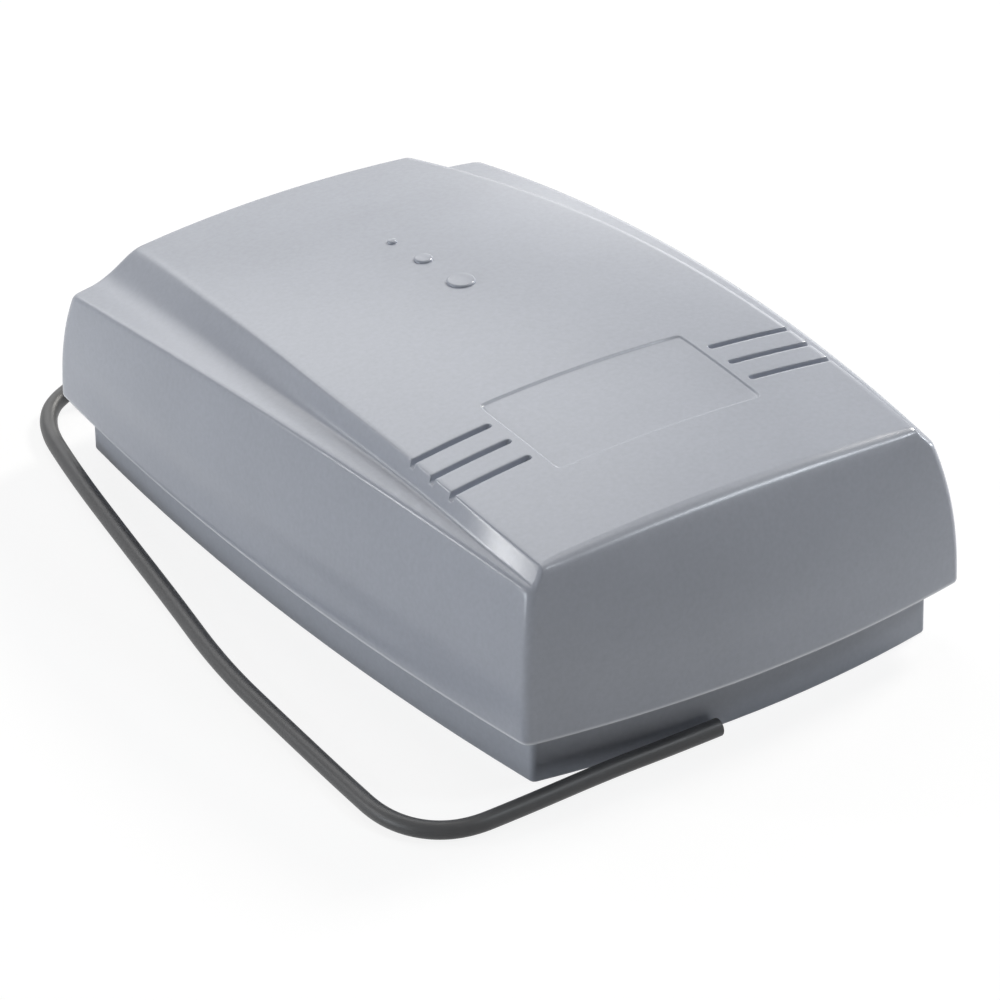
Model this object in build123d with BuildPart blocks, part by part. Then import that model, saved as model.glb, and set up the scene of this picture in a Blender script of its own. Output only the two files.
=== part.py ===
from build123d import *
import os
from math import pi, radians, sqrt, tan

# Radio receiver in a two-shell plastic case, with a free antenna wire.
# Millimetres. X is the width, +Y is the end where the antenna leaves, +Z is up.
# The origin is the centre of the case's underside.

# Case outline at the cover's lip
case_length = 86.0
case_width = 54.9
side_bow = 2.4
end_bow = 2.4
lip_height = 5.9
cover_wall = 1.7
roof_thickness = 1.9

# Cover walls: how far each wall leans in at the height where the walls are measured
lean_height = 26.0
lean_power = 2.4
front_lean = 3.5
back_lean = 7.0
side_lean_front = 3.9
side_lean_back = 2.1
side_bow_top = 2.0
front_bow_top = -0.25
back_bow_top = 2.2
waist_height = 3.4
waist_tuck = 0.15
belly_height = 6.6

# Cover roof: a crowned panel that stands above two crowned shoulders
crown_top = 25.5
crown_radius = 262.0
crown_y = -6.3
shoulder_top = 23.2
shoulder_radius = 294.0
shoulder_y = -11.4
panel_overrun = 3.4
panel_inset_front = 4.15
panel_inset_middle = 4.15
panel_inset_back = 9.35
riser_slope_front = 0.45
riser_slope_middle = 0.68
riser_slope_back = 1.5
roof_round = 0.5
corner_round = 0.7
prism_below = 6.0
prism_above = 0.5

# Marks on the panel
label_width = 23.2
label_length = 13.0
label_back_y = -13.8
label_recess = 0.3
label_corner = 0.6
mark_bow_radius = 282.0
groove_width = 0.62
groove_depth = 0.35
groove_gap = 1.3
groove_first_y = -17.1
groove_pitch = 3.25
groove_count = 3
groove_overrun = 1.5
cutter_depth = 5.0
disc_rise = 0.3
disc_diameters = (2.85, 1.9, 1.0)
disc_ys = (7.0, 13.5, 19.0)

# Base tray
base_inset = 2.25
base_bow_less = 0.2
base_wall = 1.8
base_floor = 1.8
base_rim = 10.4
base_edge = 0.35
rib_width = 1.4
rib_deep = 6.0
side_rib_ys = (-24.0, 0.0, 24.0)
end_rib_xs = (-9.0, 9.0)
bead_rise = 0.2
bead_length = 9.0
bead_height = 1.2
bead_z = 8.2
bead_ys = (-18.0, 18.0)

# Fixings through the floor
mount_hole = 4.2
mount_spacing = 63.0
mount_pad = 9.4
mount_pad_rise = 0.6

# Cable entry in the floor
entry_x = 13.0
entry_behind_board = 6.6
entry_hole = 10.0
entry_flange = 12.4
entry_bore = 7.0
entry_lip = 0.8
entry_top = 1.0
rubber_clear = 0.05

# Circuit board on posts
board_side_gap = 0.3
board_front_gap = 1.15
wiring_room = 11.95
board_thickness = 1.6
post_height = 4.4
post_diameter = 4.6
post_from_side = 3.1
post_from_back = 2.6
post_from_front = 3.0
rest_post_from_back = 9.6
screw_shank = 2.5
screw_head = 4.6
screw_head_height = 1.8
screw_length = 7.0
screw_slot = 0.7
board_hole = 2.9
notch_clear = 0.4
board_corner = 1.0

# Screw terminals
pole_pitch = 5.08
supply_poles = 6
antenna_poles = 2
terminal_depth = 8.2
terminal_height = 10.0
terminal_wall = 0.9
terminal_chamfer = 0.8
terminal_floor = 0.8
entry_window = 3.0
cage_width = 4.0
cage_depth = 4.4
cage_bar = 0.8
cage_gap = 0.12
clamp_screw_head = 3.4
clamp_screw_head_height = 1.5
clamp_screw_shank = 2.2
clamp_screw_slot = 0.6
head_recess = 0.5
clamp_turn_count = 3
thread_gap = 0.06
thread_pitch = 0.5
shelf_thickness = 0.8
conductor_gap = 0.04
tongue_thickness = 0.35
tongue_width = 2.0
leg_thickness = 0.5
pin_size = 0.9
pin_below = 1.2

# Antenna wire
wire_diameter = 1.8
conductor_diameter = 0.9
wire_from_side = 7.7
antenna_from_back = 15.8
wire_exit_z = 3.4
wire_notch = 2.7
strip_length = 5.4
tail_bend = 3.5
wire_rest_z = 0.92

# Relays and their surge discs
relay_width = 10.2
relay_length = 15.4
relay_height = 11.4
relay_corner = 0.5
relay_count = 2
relay_from_side = 6.2
relay_step = 12.3
relay_from_back = 19.0
disc_diameter = 6.5
disc_thickness = 2.4
side_clear = 0.3

# Chips and the plug-in memory
pin_pitch = 2.54
chip_width = 6.4
chip_height = 3.3
chip_notch = 0.8
chip_standoff = 0.6
leg_width = 0.6
leg_plate = 0.3
edge_margin = 0.8
microcontroller_length = 19.2
microcontroller_pin_count = 14
microcontroller_from_front = 21.8
memory_length = 10.0
memory_pin_count = 8
memory_from_front = 12.8
socket_width = 8.4
socket_height = 3.0
socket_rail = 1.2
socket_depth = 2.2
socket_play = 0.15

# Jumper
jumper_from_side = 10.5
jumper_from_front = 4.8
jumper_post_count = 3
header_base = 2.5
header_post = 5.6
post_size = 0.64
cap_play = 0.12
seat_gap = 0.02

# Programming button
switch_from_side = 24.9
switch_from_front = 21.8
switch_side = 6.0
switch_height = 3.6
switch_floor = 0.6
switch_roof = 0.5
switch_dome_rise = 0.7
plunger_flange = 4.6
plunger_flange_height = 1.4
plunger_diameter = 3.4
plunger_clear = 0.08
plunger_top = 7.0

# Status light
led_from_front = 14.8
led_diameter = 3.0
led_flange = 0.4
led_flange_height = 1.0
led_height = 5.2

# Power parts
capacitor_from_side = 27.4
capacitor_from_back = 20.0
capacitor_diameter = 6.3
capacitor_height = 11.0
capacitor_round = 0.5
vent_width = 0.3
bridge_from_back = 12.6
bridge_side = 6.4
bridge_height = 3.3
regulator_from_side = 5.6
regulator_from_front = 29.6
regulator_length = 6.5
regulator_width = 3.5
regulator_height = 1.7
regulator_leg = 0.8

# Small parts
resistor_first_from_side = 23.7
resistor_step = 2.6
resistor_count = 3
resistor_from_front = 29.05
pull_up_from_side = 28.5
pull_up_from_front = 13.8
resistor_length = 6.2
resistor_diameter = 2.2
diode_from_side = 1.0
diode_step = 9.1
diode_length = 4.2
diode_diameter = 1.9
lead_diameter = 0.6
lead_reach = 0.7
lead_clear = 0.02
transistor_from_side = 14.1
transistor_step = 5.2
transistor_diameter = 4.6
transistor_height = 5.0
ceramic_from_side = 13.3
ceramic_first_from_front = 8.6
ceramic_step = 2.8
load_capacitor_from_side = 22.5
load_capacitor_from_front = 10.8
ceramic_diameter = 4.0
ceramic_thickness = 1.6
crystal_from_side = 17.3
crystal_from_front = 15.0
crystal_length = 10.4
crystal_width = 4.4
crystal_height = 3.6
crystal_flange = 0.5

# Radio module
radio_from_side = 5.9
radio_from_front = 18.8
radio_width = 10.2
radio_length = 25.4
radio_post_count = 9
radio_board_thickness = 1.0
shield_width = 5.6
shield_length = 12.0
shield_height = 2.4
coil_diameter = 4.8
coil_core = 2.2
coil_base = 0.6
coil_height = 4.6

half_w = case_width / 2 - side_bow
half_l = case_length / 2 - end_bow
panel_end_y = half_l + panel_overrun
panel_half_front = half_w - panel_inset_front
panel_half_middle = half_w - panel_inset_middle
panel_half_back = half_w - panel_inset_back
groove_inner_x = label_width / 2 + groove_gap
hollow_inset = base_inset + base_wall
board_half = half_w - hollow_inset - board_side_gap
board_front_y = board_front_gap + hollow_inset - half_l
board_back_y = half_l - hollow_inset - wiring_room
entry_y = board_back_y + entry_behind_board
post_x = board_half - post_from_side
post_back_y = board_back_y - post_from_back
post_front_y = board_front_y + post_from_front
rest_post_y = board_back_y - rest_post_from_back
wire_x = wire_from_side - board_half
antenna_face_y = board_back_y - antenna_from_back
relay_last_x = board_half - relay_from_side
relay_first_x = relay_last_x - (relay_count - 1) * relay_step
relay_y = board_back_y - relay_from_back
microcontroller_x = board_half - edge_margin - microcontroller_length / 2
microcontroller_y = board_front_y + microcontroller_from_front
memory_x = board_half - edge_margin - memory_length / 2
memory_y = board_front_y + memory_from_front
jumper_x = board_half - jumper_from_side
jumper_y = board_front_y + jumper_from_front
switch_x = board_half - switch_from_side
switch_y = board_front_y + switch_from_front
led_x = switch_x
led_y = board_front_y + led_from_front
capacitor_x = board_half - capacitor_from_side
capacitor_y = board_back_y - capacitor_from_back
bridge_x = capacitor_x
bridge_y = board_back_y - bridge_from_back
regulator_x = board_half - regulator_from_side
middle_row_y = board_front_y + regulator_from_front
crystal_x = board_half - crystal_from_side
crystal_y = board_front_y + crystal_from_front
radio_x = radio_from_side - board_half
radio_y = board_front_y + radio_from_front
board_z = base_floor + post_height
board_top = board_z + board_thickness
board_mid_y = (board_front_y + board_back_y) / 2
terminal_top = board_top + terminal_height
head_top = terminal_top - head_recess
head_bottom = head_top - clamp_screw_head_height
chamber_top = head_bottom - shelf_thickness
chamber_bottom = board_top + terminal_floor
cage_top = chamber_top - cage_gap
clamp_travel = clamp_turn_count * thread_pitch
cage_height = cage_top - chamber_bottom - cage_gap - clamp_travel
cage_bottom = cage_top - cage_height
window_low = cage_bottom + cage_bar
window_high = cage_top - cage_bar
conductor_z = window_low + conductor_gap + conductor_diameter / 2
tongue_low = conductor_z + conductor_diameter / 2 + conductor_gap
cage_front = terminal_wall + cage_gap
screw_setback = cage_front + cage_depth / 2
leg_setback = cage_front + cage_depth + cage_gap


def bowed_outline(front_x, back_x, front_y, back_y, side, front, back):
    """Closed outline of four arcs: two long sides, a front end and a back end."""
    mid_x = (front_x + back_x) / 2 + side
    mid_y = (back_y - front_y) / 2
    with BuildSketch() as outline:
        with BuildLine():
            ThreePointArc((-front_x, -front_y), (0, -front_y - front), (front_x, -front_y))
            ThreePointArc((front_x, -front_y), (mid_x, mid_y), (back_x, back_y))
            ThreePointArc((back_x, back_y), (0, back_y + back), (-back_x, back_y))
            ThreePointArc((-back_x, back_y), (-mid_x, mid_y), (-front_x, -front_y))
        make_face()
    return outline.sketch


def level_outline(height, inset):
    """The cover's outline at a height, moved in by an inset."""
    share = max(height - lip_height, 0) / (lean_height - lip_height)
    lean = share**lean_power
    flatter = share**2
    tuck = waist_tuck if abs(height - lip_height - waist_height) < 0.01 else 0.0
    return bowed_outline(
        half_w - side_lean_front * lean - inset,
        half_w - side_lean_back * lean - inset,
        half_l - front_lean * lean - inset,
        half_l - back_lean * lean - inset,
        side_bow + (side_bow_top - side_bow) * flatter - tuck,
        end_bow + (front_bow_top - end_bow) * flatter - tuck,
        end_bow + (back_bow_top - end_bow) * flatter - tuck,
    )


def walls_solid(inset, start):
    """The space inside the cover's four walls, from a starting height up past the roof."""
    rise = lean_height - lip_height
    heights = [start, lip_height + waist_height, lip_height + belly_height]
    heights += [lip_height + rise * share for share in (0.55, 0.8, 1.05)]
    with BuildPart() as walls:
        for height in heights:
            with BuildSketch(Plane.XY.offset(height)):
                add(level_outline(height, inset))
        loft()
        corners = walls.edges().filter_by(lambda edge: edge.bounding_box().size.Z > rise / 2)
        fillet(corners, radius=corner_round)
    return walls.part


def dome(top, radius, centre_y):
    """A large ball whose top gives a crowned surface, with its seam underneath."""
    return Pos(0, centre_y, top - radius) * Rot(0, 90, 0) * Sphere(radius)


def crown_z(x, y):
    """Height of the panel's surface."""
    return crown_top - crown_radius + sqrt(crown_radius**2 - x**2 - (y - crown_y) ** 2)


def panel_outline(height, inset):
    """Plan of the raised panel at a height, between its front and back stations."""
    stations = (
        (-panel_end_y, panel_half_front, riser_slope_front),
        (0, panel_half_middle, riser_slope_middle),
        (panel_end_y, panel_half_back, riser_slope_back),
    )
    right = []
    for y, half_width, slope in stations:
        right.append((half_width + slope * (crown_z(half_width, y) - height) - inset, y))
    left = [(-x, y) for x, y in right]
    with BuildSketch() as outline:
        with BuildLine():
            Line(left[0], right[0])
            ThreePointArc(right[0], right[1], right[2])
            Line(right[2], left[2])
            ThreePointArc(left[2], left[1], left[0])
        make_face()
    return outline.sketch


def panel_prism(inset):
    """The raised panel's body, which widens from the roof down to the shoulders."""
    with BuildPart() as prism:
        for height in (shoulder_top - prism_below, crown_top + prism_above):
            with BuildSketch(Plane.XY.offset(height)):
                add(panel_outline(height, inset))
        loft(ruled=True)
    return prism.part


def case_solid(inset, drop, start):
    """The cover's filled form, moved in by an inset and down by a drop."""
    walls = walls_solid(inset, start)
    shoulder = walls & dome(shoulder_top - drop, shoulder_radius, shoulder_y)
    panel = walls & panel_prism(inset) & dome(crown_top - drop, crown_radius, crown_y)
    return shoulder + panel


def on_crown(edge):
    """Whether an edge lies on the panel's crowned surface."""
    points = [edge.position_at(share) for share in (0.2, 0.5, 0.8)]
    return all(abs(point.Z - crown_z(point.X, point.Y)) < 0.1 for point in points)


def side_x(y, inset):
    """Half width of the base's outline, moved in by an inset, at a place along the length."""
    return half_w + (side_bow - base_bow_less) * (1 - (y / half_l) ** 2) - inset


def end_y(x, inset):
    """Half length of the base's outline, moved in by an inset, at a place across the width."""
    return half_l + (end_bow - base_bow_less) * (1 - (x / half_w) ** 2) - inset


def domed_disc(diameter, y):
    """A small raised disc on the panel, rooted in the roof."""
    top = crown_z(0, y) + disc_rise
    with BuildPart() as disc:
        with BuildSketch(Plane.XY.offset(top - disc_rise - roof_thickness / 2)):
            with Locations((0, y)):
                Circle(diameter / 2)
        extrude(amount=disc_rise + roof_thickness / 2)
        fillet(disc.edges().group_by(Axis.Z)[-1], radius=disc_rise * 0.7)
    return disc.part


def finish(part, label):
    """Names a finished piece and writes it."""
    part.label = label
    export_step(part, f"parts/{label}.step")


os.makedirs("parts", exist_ok=True)

# Front cover
outer_form = case_solid(0, 0, lip_height)
inner_form = case_solid(cover_wall, roof_thickness, lip_height - 1)
rib_form = case_solid(cover_wall / 2, roof_thickness / 2, lip_height)
crown_under_label = dome(crown_top - label_recess, crown_radius, crown_y)
crown_under_groove = dome(crown_top - groove_depth, crown_radius, crown_y)
above = crown_top + 2

with BuildPart() as stop_ribs:
    rib_bottom = base_rim
    for y in side_rib_ys:
        for side in (-1, 1):
            inner_x = side_x(y, base_inset + base_wall)
            with BuildSketch(Plane.XY.offset(rib_bottom)):
                with Locations((side * (inner_x + rib_deep / 2), y)):
                    Rectangle(rib_deep, rib_width)
            extrude(amount=above - rib_bottom)
    for x in end_rib_xs:
        for end in (-1, 1):
            inner_y = end_y(x, base_inset + base_wall)
            with BuildSketch(Plane.XY.offset(rib_bottom)):
                with Locations((x, end * (inner_y + rib_deep / 2))):
                    Rectangle(rib_width, rib_deep)
            extrude(amount=above - rib_bottom)
    add(rib_form, mode=Mode.INTERSECT)

with BuildPart() as label_cutter:
    bow = (label_width / 2) ** 2 / (2 * mark_bow_radius)
    label_front_y = label_back_y - label_length
    edge_x = label_width / 2
    with BuildSketch(Plane.XY.offset(shoulder_top - cutter_depth)):
        with BuildLine():
            ThreePointArc((edge_x, label_back_y - bow), (0, label_back_y), (-edge_x, label_back_y - bow))
            Line((-edge_x, label_back_y - bow), (-edge_x, label_front_y - bow))
            ThreePointArc((-edge_x, label_front_y - bow), (0, label_front_y), (edge_x, label_front_y - bow))
            Line((edge_x, label_front_y - bow), (edge_x, label_back_y - bow))
        make_face()
        fillet(vertices(), radius=label_corner)
    extrude(amount=above - shoulder_top + cutter_depth)
    add(crown_under_label, mode=Mode.SUBTRACT)

with BuildPart() as groove_cutter:
    for number in range(groove_count):
        first_y = groove_first_y - number * groove_pitch
        outer_x = panel_half_middle + groove_overrun
        places = []
        for x in (groove_inner_x, (groove_inner_x + outer_x) / 2, outer_x):
            places.append((x, first_y - x**2 / (2 * mark_bow_radius)))
        with BuildSketch(Plane.XY.offset(shoulder_top - cutter_depth)):
            with BuildLine(mode=Mode.PRIVATE) as groove_line:
                ThreePointArc(*places)
            SlotArc(arc=groove_line.wire(), height=groove_width)
            mirror(about=Plane.YZ)
        extrude(amount=above - shoulder_top + cutter_depth)
    add(crown_under_groove, mode=Mode.SUBTRACT)

with BuildPart() as front_cover:
    add(outer_form)
    fillet(front_cover.edges().filter_by(on_crown), radius=roof_round)
    add(inner_form, mode=Mode.SUBTRACT)
    add(stop_ribs.part)
    add(label_cutter.part, mode=Mode.SUBTRACT)
    add(groove_cutter.part, mode=Mode.SUBTRACT)
    for diameter, y in zip(disc_diameters, disc_ys):
        add(domed_disc(diameter, y))
finish(front_cover.part, "front_cover")

# Rear base: a tray with posts, fixing holes, the cable entry and the antenna's notch
base_outline = bowed_outline(
    half_w - base_inset,
    half_w - base_inset,
    half_l - base_inset,
    half_l - base_inset,
    side_bow - base_bow_less,
    end_bow - base_bow_less,
    end_bow - base_bow_less,
)
base_hollow = bowed_outline(
    half_w - hollow_inset,
    half_w - hollow_inset,
    half_l - hollow_inset,
    half_l - hollow_inset,
    side_bow - base_bow_less,
    end_bow - base_bow_less,
    end_bow - base_bow_less,
)
screw_places = [(-post_x, post_back_y), (-post_x, post_front_y), (post_x, post_front_y)]
post_places = screw_places + [(post_x, rest_post_y)]
mount_places = [(0, -mount_spacing / 2), (0, mount_spacing / 2)]
notch_low = wire_exit_z - wire_notch / 2

with BuildPart() as rear_base:
    with BuildSketch():
        add(base_outline)
    extrude(amount=base_rim)
    corners = rear_base.edges().filter_by(lambda edge: edge.bounding_box().size.Z > base_rim / 2)
    fillet(corners, radius=corner_round)
    fillet(rear_base.edges().group_by(Axis.Z)[0], radius=base_edge)
    with BuildSketch(Plane.XY.offset(base_floor)):
        add(base_hollow)
    extrude(amount=base_rim - base_floor, mode=Mode.SUBTRACT)
    with BuildSketch(Plane.XY.offset(base_floor)):
        with Locations(*post_places):
            Circle(post_diameter / 2)
    extrude(amount=post_height)
    with BuildSketch(Plane.XY.offset(base_floor)):
        with Locations(*mount_places):
            Circle(mount_pad / 2)
    extrude(amount=mount_pad_rise)
    with BuildSketch():
        with Locations(*mount_places):
            Circle(mount_hole / 2)
        with Locations((entry_x, entry_y)):
            Circle(entry_hole / 2)
    extrude(amount=base_floor + mount_pad_rise, mode=Mode.SUBTRACT)
    with BuildSketch():
        with Locations((entry_x, entry_y)):
            Circle(entry_flange / 2 + rubber_clear)
    extrude(amount=entry_lip, mode=Mode.SUBTRACT)
    with BuildSketch(Plane.XY.offset(base_floor)):
        with Locations(*screw_places):
            Circle(screw_shank / 2 + thread_gap)
    extrude(amount=post_height, mode=Mode.SUBTRACT)
    with BuildSketch(Plane.XZ.offset(-(end_y(wire_x, hollow_inset) - 1))):
        with Locations((wire_x, wire_exit_z)):
            Circle(wire_notch / 2)
        with Locations((wire_x, (wire_exit_z + base_rim) / 2)):
            Rectangle(wire_notch, base_rim - wire_exit_z)
    extrude(amount=-base_wall - 2.5, mode=Mode.SUBTRACT)
    for y in bead_ys:
        for side in (-1, 1):
            bead_x = side_x(abs(y) + bead_length / 2, base_inset)
            with BuildSketch(Plane.XY.offset(bead_z)):
                with Locations((side * (bead_x - base_wall / 2 + bead_rise / 2), y)):
                    Rectangle(base_wall - bead_rise, bead_length)
            extrude(amount=bead_height)
finish(rear_base.part, "rear_base")

# Rubber grommet in the cable entry
with BuildPart() as cable_grommet:
    neck = entry_hole / 2 - rubber_clear
    with BuildSketch(Plane.XZ.offset(-entry_y)):
        with BuildLine():
            Polyline(
                (entry_x + entry_bore / 2, rubber_clear),
                (entry_x + entry_flange / 2, rubber_clear),
                (entry_x + entry_flange / 2, entry_lip - rubber_clear),
                (entry_x + neck, entry_lip - rubber_clear),
                (entry_x + neck, base_floor),
                (entry_x + entry_flange / 2, base_floor),
                (entry_x + entry_flange / 2 - entry_top / 2, base_floor + entry_top),
                (entry_x + entry_bore / 2, base_floor + entry_top),
                close=True,
            )
        make_face()
    revolve(axis=Axis((entry_x, entry_y, 0), (0, 0, 1)))
finish(cable_grommet.part, "cable_grommet")

# Circuit board, notched round the front fixing hole and drilled for the contacts
first_pole_x = wire_x - (antenna_poles - 1) * pole_pitch
antenna_pole_xs = [first_pole_x + number * pole_pitch for number in range(antenna_poles)]
supply_first_x = board_half - (supply_poles - 0.5) * pole_pitch
supply_pole_xs = [supply_first_x + number * pole_pitch for number in range(supply_poles)]
pole_places = [(x, board_back_y) for x in supply_pole_xs] + [(x, antenna_face_y) for x in antenna_pole_xs]
pin_places = [(x, face_y - leg_setback - leg_thickness / 2) for x, face_y in pole_places]
board_notch = mount_pad / 2 + notch_clear

with BuildPart() as circuit_board:
    with BuildSketch(Plane.XY.offset(board_z)):
        with Locations((0, board_mid_y)):
            RectangleRounded(2 * board_half, board_back_y - board_front_y, board_corner)
        with Locations(mount_places[0]):
            Circle(board_notch, mode=Mode.SUBTRACT)
        with Locations((0, board_front_y)):
            Rectangle(2 * board_notch, 2 * (mount_places[0][1] - board_front_y), mode=Mode.SUBTRACT)
        with Locations(*screw_places):
            Circle(board_hole / 2, mode=Mode.SUBTRACT)
        with Locations(*pin_places):
            Circle(pin_size / sqrt(2) + thread_gap, mode=Mode.SUBTRACT)
    extrude(amount=board_thickness)
finish(circuit_board.part, "circuit_board")

# Board screws: one node of three
with BuildPart() as board_screws:
    with BuildSketch(Plane.XY.offset(board_top)):
        with Locations(*screw_places):
            Circle(screw_head / 2)
    extrude(amount=screw_head_height)
    fillet(board_screws.edges().group_by(Axis.Z)[-1], radius=screw_head_height / 3)
    with BuildSketch(Plane.XY.offset(board_top)):
        with Locations(*screw_places):
            Circle(screw_shank / 2)
    extrude(amount=-screw_length + screw_head_height)
    with BuildSketch(Plane.XY.offset(board_top + screw_head_height)):
        with Locations(*screw_places):
            Rectangle(screw_head / 2, screw_slot)
            Rectangle(screw_slot, screw_head / 2)
    extrude(amount=-screw_head_height / 2, mode=Mode.SUBTRACT)
finish(board_screws.part, "board_screws")


def terminal_body(pole_xs, face_y):
    """Moulded body of a row of screw terminals whose wires enter at its back face."""
    middle_x = (pole_xs[0] + pole_xs[-1]) / 2
    length = len(pole_xs) * pole_pitch
    chamber_y = face_y - terminal_wall - (leg_setback + leg_thickness - terminal_wall) / 2
    chamber_deep = leg_setback + leg_thickness - terminal_wall
    with BuildPart() as body:
        with BuildSketch(Plane.XY.offset(board_top)):
            with Locations((middle_x, face_y - terminal_depth / 2)):
                Rectangle(length, terminal_depth)
        extrude(amount=terminal_height)
        top_edges = body.edges().filter_by(Axis.X).group_by(Axis.Z)[-1]
        chamfer(top_edges, length=terminal_chamfer)
        with BuildSketch(Plane.XY.offset(chamber_bottom)):
            with Locations(*[(x, chamber_y) for x in pole_xs]):
                Rectangle(cage_width + 2 * cage_gap, chamber_deep)
        extrude(amount=chamber_top - chamber_bottom, mode=Mode.SUBTRACT)
        with BuildSketch(Plane.XY.offset(chamber_top)):
            with Locations(*[(x, face_y - screw_setback) for x in pole_xs]):
                Circle(clamp_screw_shank / 2 + cage_gap)
        extrude(amount=shelf_thickness, mode=Mode.SUBTRACT)
        with BuildSketch(Plane.XY.offset(head_bottom)):
            with Locations(*[(x, face_y - screw_setback) for x in pole_xs]):
                Circle(clamp_screw_head / 2 + cage_gap)
        extrude(amount=terminal_top - head_bottom, mode=Mode.SUBTRACT)
        with BuildSketch(Plane.XZ.offset(-face_y)):
            with Locations(*[(x, conductor_z) for x in pole_xs]):
                RectangleRounded(entry_window, entry_window, entry_window / 4)
        extrude(amount=terminal_wall, mode=Mode.SUBTRACT)
        with BuildSketch(Plane.XY.offset(board_top)):
            with Locations(*[(x, face_y - leg_setback - leg_thickness / 2) for x in pole_xs]):
                Rectangle(tongue_width, leg_thickness)
        extrude(amount=terminal_floor, mode=Mode.SUBTRACT)
    return body.part


def clamp_screw(x, face_y):
    """Slotted screw of one terminal."""
    y = face_y - screw_setback
    with BuildPart() as screw:
        with BuildSketch(Plane.XY.offset(head_bottom)):
            with Locations((x, y)):
                Circle(clamp_screw_head / 2)
        extrude(amount=clamp_screw_head_height)
        chamfer(screw.edges().group_by(Axis.Z)[-1], length=clamp_screw_head_height / 6)
        with BuildSketch(Plane.XY.offset(head_bottom)):
            with Locations((x, y)):
                Circle(clamp_screw_shank / 2)
        extrude(amount=-(head_bottom - tongue_low - tongue_thickness - cage_gap))
        with BuildSketch(Plane.XY.offset(head_top)):
            with Locations((x, y)):
                Rectangle(clamp_screw_head + 1, clamp_screw_slot)
        extrude(amount=-clamp_screw_head_height / 2, mode=Mode.SUBTRACT)
    return screw.part


def clamp_cage(x, face_y):
    """Rising cage that the screw pulls up to press the wire against the tongue."""
    y = face_y - screw_setback
    with BuildPart() as cage:
        with BuildSketch(Plane.XY.offset(cage_bottom)):
            with Locations((x, y)):
                Rectangle(cage_width, cage_depth)
        extrude(amount=cage_height)
        with BuildSketch(Plane.XY.offset(window_low)):
            with Locations((x, y)):
                Rectangle(cage_width - 2 * cage_bar, cage_depth)
        extrude(amount=window_high - window_low, mode=Mode.SUBTRACT)
        with BuildSketch(Plane.XY.offset(window_high)):
            with Locations((x, y)):
                Circle(clamp_screw_shank / 2 + thread_gap)
        extrude(amount=cage_top - window_high, mode=Mode.SUBTRACT)
    return cage.part


finish(terminal_body(supply_pole_xs, board_back_y), "terminal_block")
finish(terminal_body(antenna_pole_xs, antenna_face_y), "antenna_terminal")
for number, x in enumerate(supply_pole_xs, start=1):
    finish(clamp_screw(x, board_back_y), f"terminal_screw_{number}")
    finish(clamp_cage(x, board_back_y), f"terminal_clamp_{number}")
for number, x in enumerate(antenna_pole_xs, start=1):
    finish(clamp_screw(x, antenna_face_y), f"antenna_screw_{number}")
    finish(clamp_cage(x, antenna_face_y), f"antenna_clamp_{number}")

# Contacts: a tongue through each cage, a leg behind it and a pin through the board
with BuildPart() as terminal_contacts:
    for x, face_y in pole_places:
        leg_y = face_y - leg_setback - leg_thickness / 2
        tongue_front = face_y - terminal_wall
        tongue_back = leg_y + leg_thickness / 2
        with BuildSketch(Plane.XY.offset(tongue_low)):
            with Locations((x, (tongue_front + tongue_back) / 2)):
                Rectangle(tongue_width, tongue_front - tongue_back)
        extrude(amount=tongue_thickness)
        with BuildSketch(Plane.XY.offset(board_top)):
            with Locations((x, leg_y)):
                Rectangle(tongue_width, leg_thickness)
        extrude(amount=tongue_low + tongue_thickness - board_top)
        with BuildSketch(Plane.XY.offset(board_z - pin_below)):
            with Locations((x, leg_y)):
                Rectangle(pin_size, leg_thickness)
        extrude(amount=board_thickness + pin_below)
finish(terminal_contacts.part, "terminal_contacts")

# Relays and suppressors
with BuildPart() as relay_form:
    with BuildSketch(Plane.XY.offset(board_top)):
        RectangleRounded(relay_width, relay_length, relay_corner)
    extrude(amount=relay_height)
    chamfer(relay_form.edges().group_by(Axis.Z)[-1], length=relay_corner / 2)
relay_xs = [relay_first_x + number * relay_step for number in range(relay_count)]
for number, x in enumerate(relay_xs, start=1):
    finish(Pos(x, relay_y, 0) * relay_form.part, f"relay_{number}")

with BuildPart() as surge_discs:
    disc_y = relay_y + relay_length / 2 + disc_thickness / 2 + side_clear
    with BuildSketch(Plane.XZ.offset(-disc_y + disc_thickness / 2)):
        with Locations(*[(x, board_top + disc_diameter / 2) for x in relay_xs]):
            Circle(disc_diameter / 2)
        with Locations(*[(x, board_top + disc_diameter / 8) for x in relay_xs]):
            Rectangle(disc_diameter / 2, disc_diameter / 4)
    extrude(amount=-disc_thickness)
    fillet(surge_discs.edges().filter_by(GeomType.CIRCLE), radius=disc_thickness / 5)
finish(surge_discs.part, "surge_discs")


def leaded_chip(x, y, bottom, length, width, height, pins, leg):
    """A moulded chip along X with two rows of straight legs."""
    with BuildPart() as chip:
        with BuildSketch(Plane.XY.offset(bottom)):
            with Locations((x, y)):
                Rectangle(length, width)
            with Locations((x - length / 2, y)):
                Circle(chip_notch, mode=Mode.SUBTRACT)
        extrude(amount=height)
        with BuildSketch(Plane.XY.offset(bottom - leg)):
            for side in (-1, 1):
                with Locations((x, y + side * (width / 2 + leg_plate / 2))):
                    with GridLocations(pin_pitch, 0, pins // 2, 1):
                        Rectangle(leg_width, leg_plate)
        extrude(amount=leg + height / 2)
    return chip.part


finish(
    leaded_chip(
        microcontroller_x,
        microcontroller_y,
        board_top + chip_standoff,
        microcontroller_length,
        chip_width,
        chip_height,
        microcontroller_pin_count,
        chip_standoff,
    ),
    "microcontroller",
)

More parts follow.
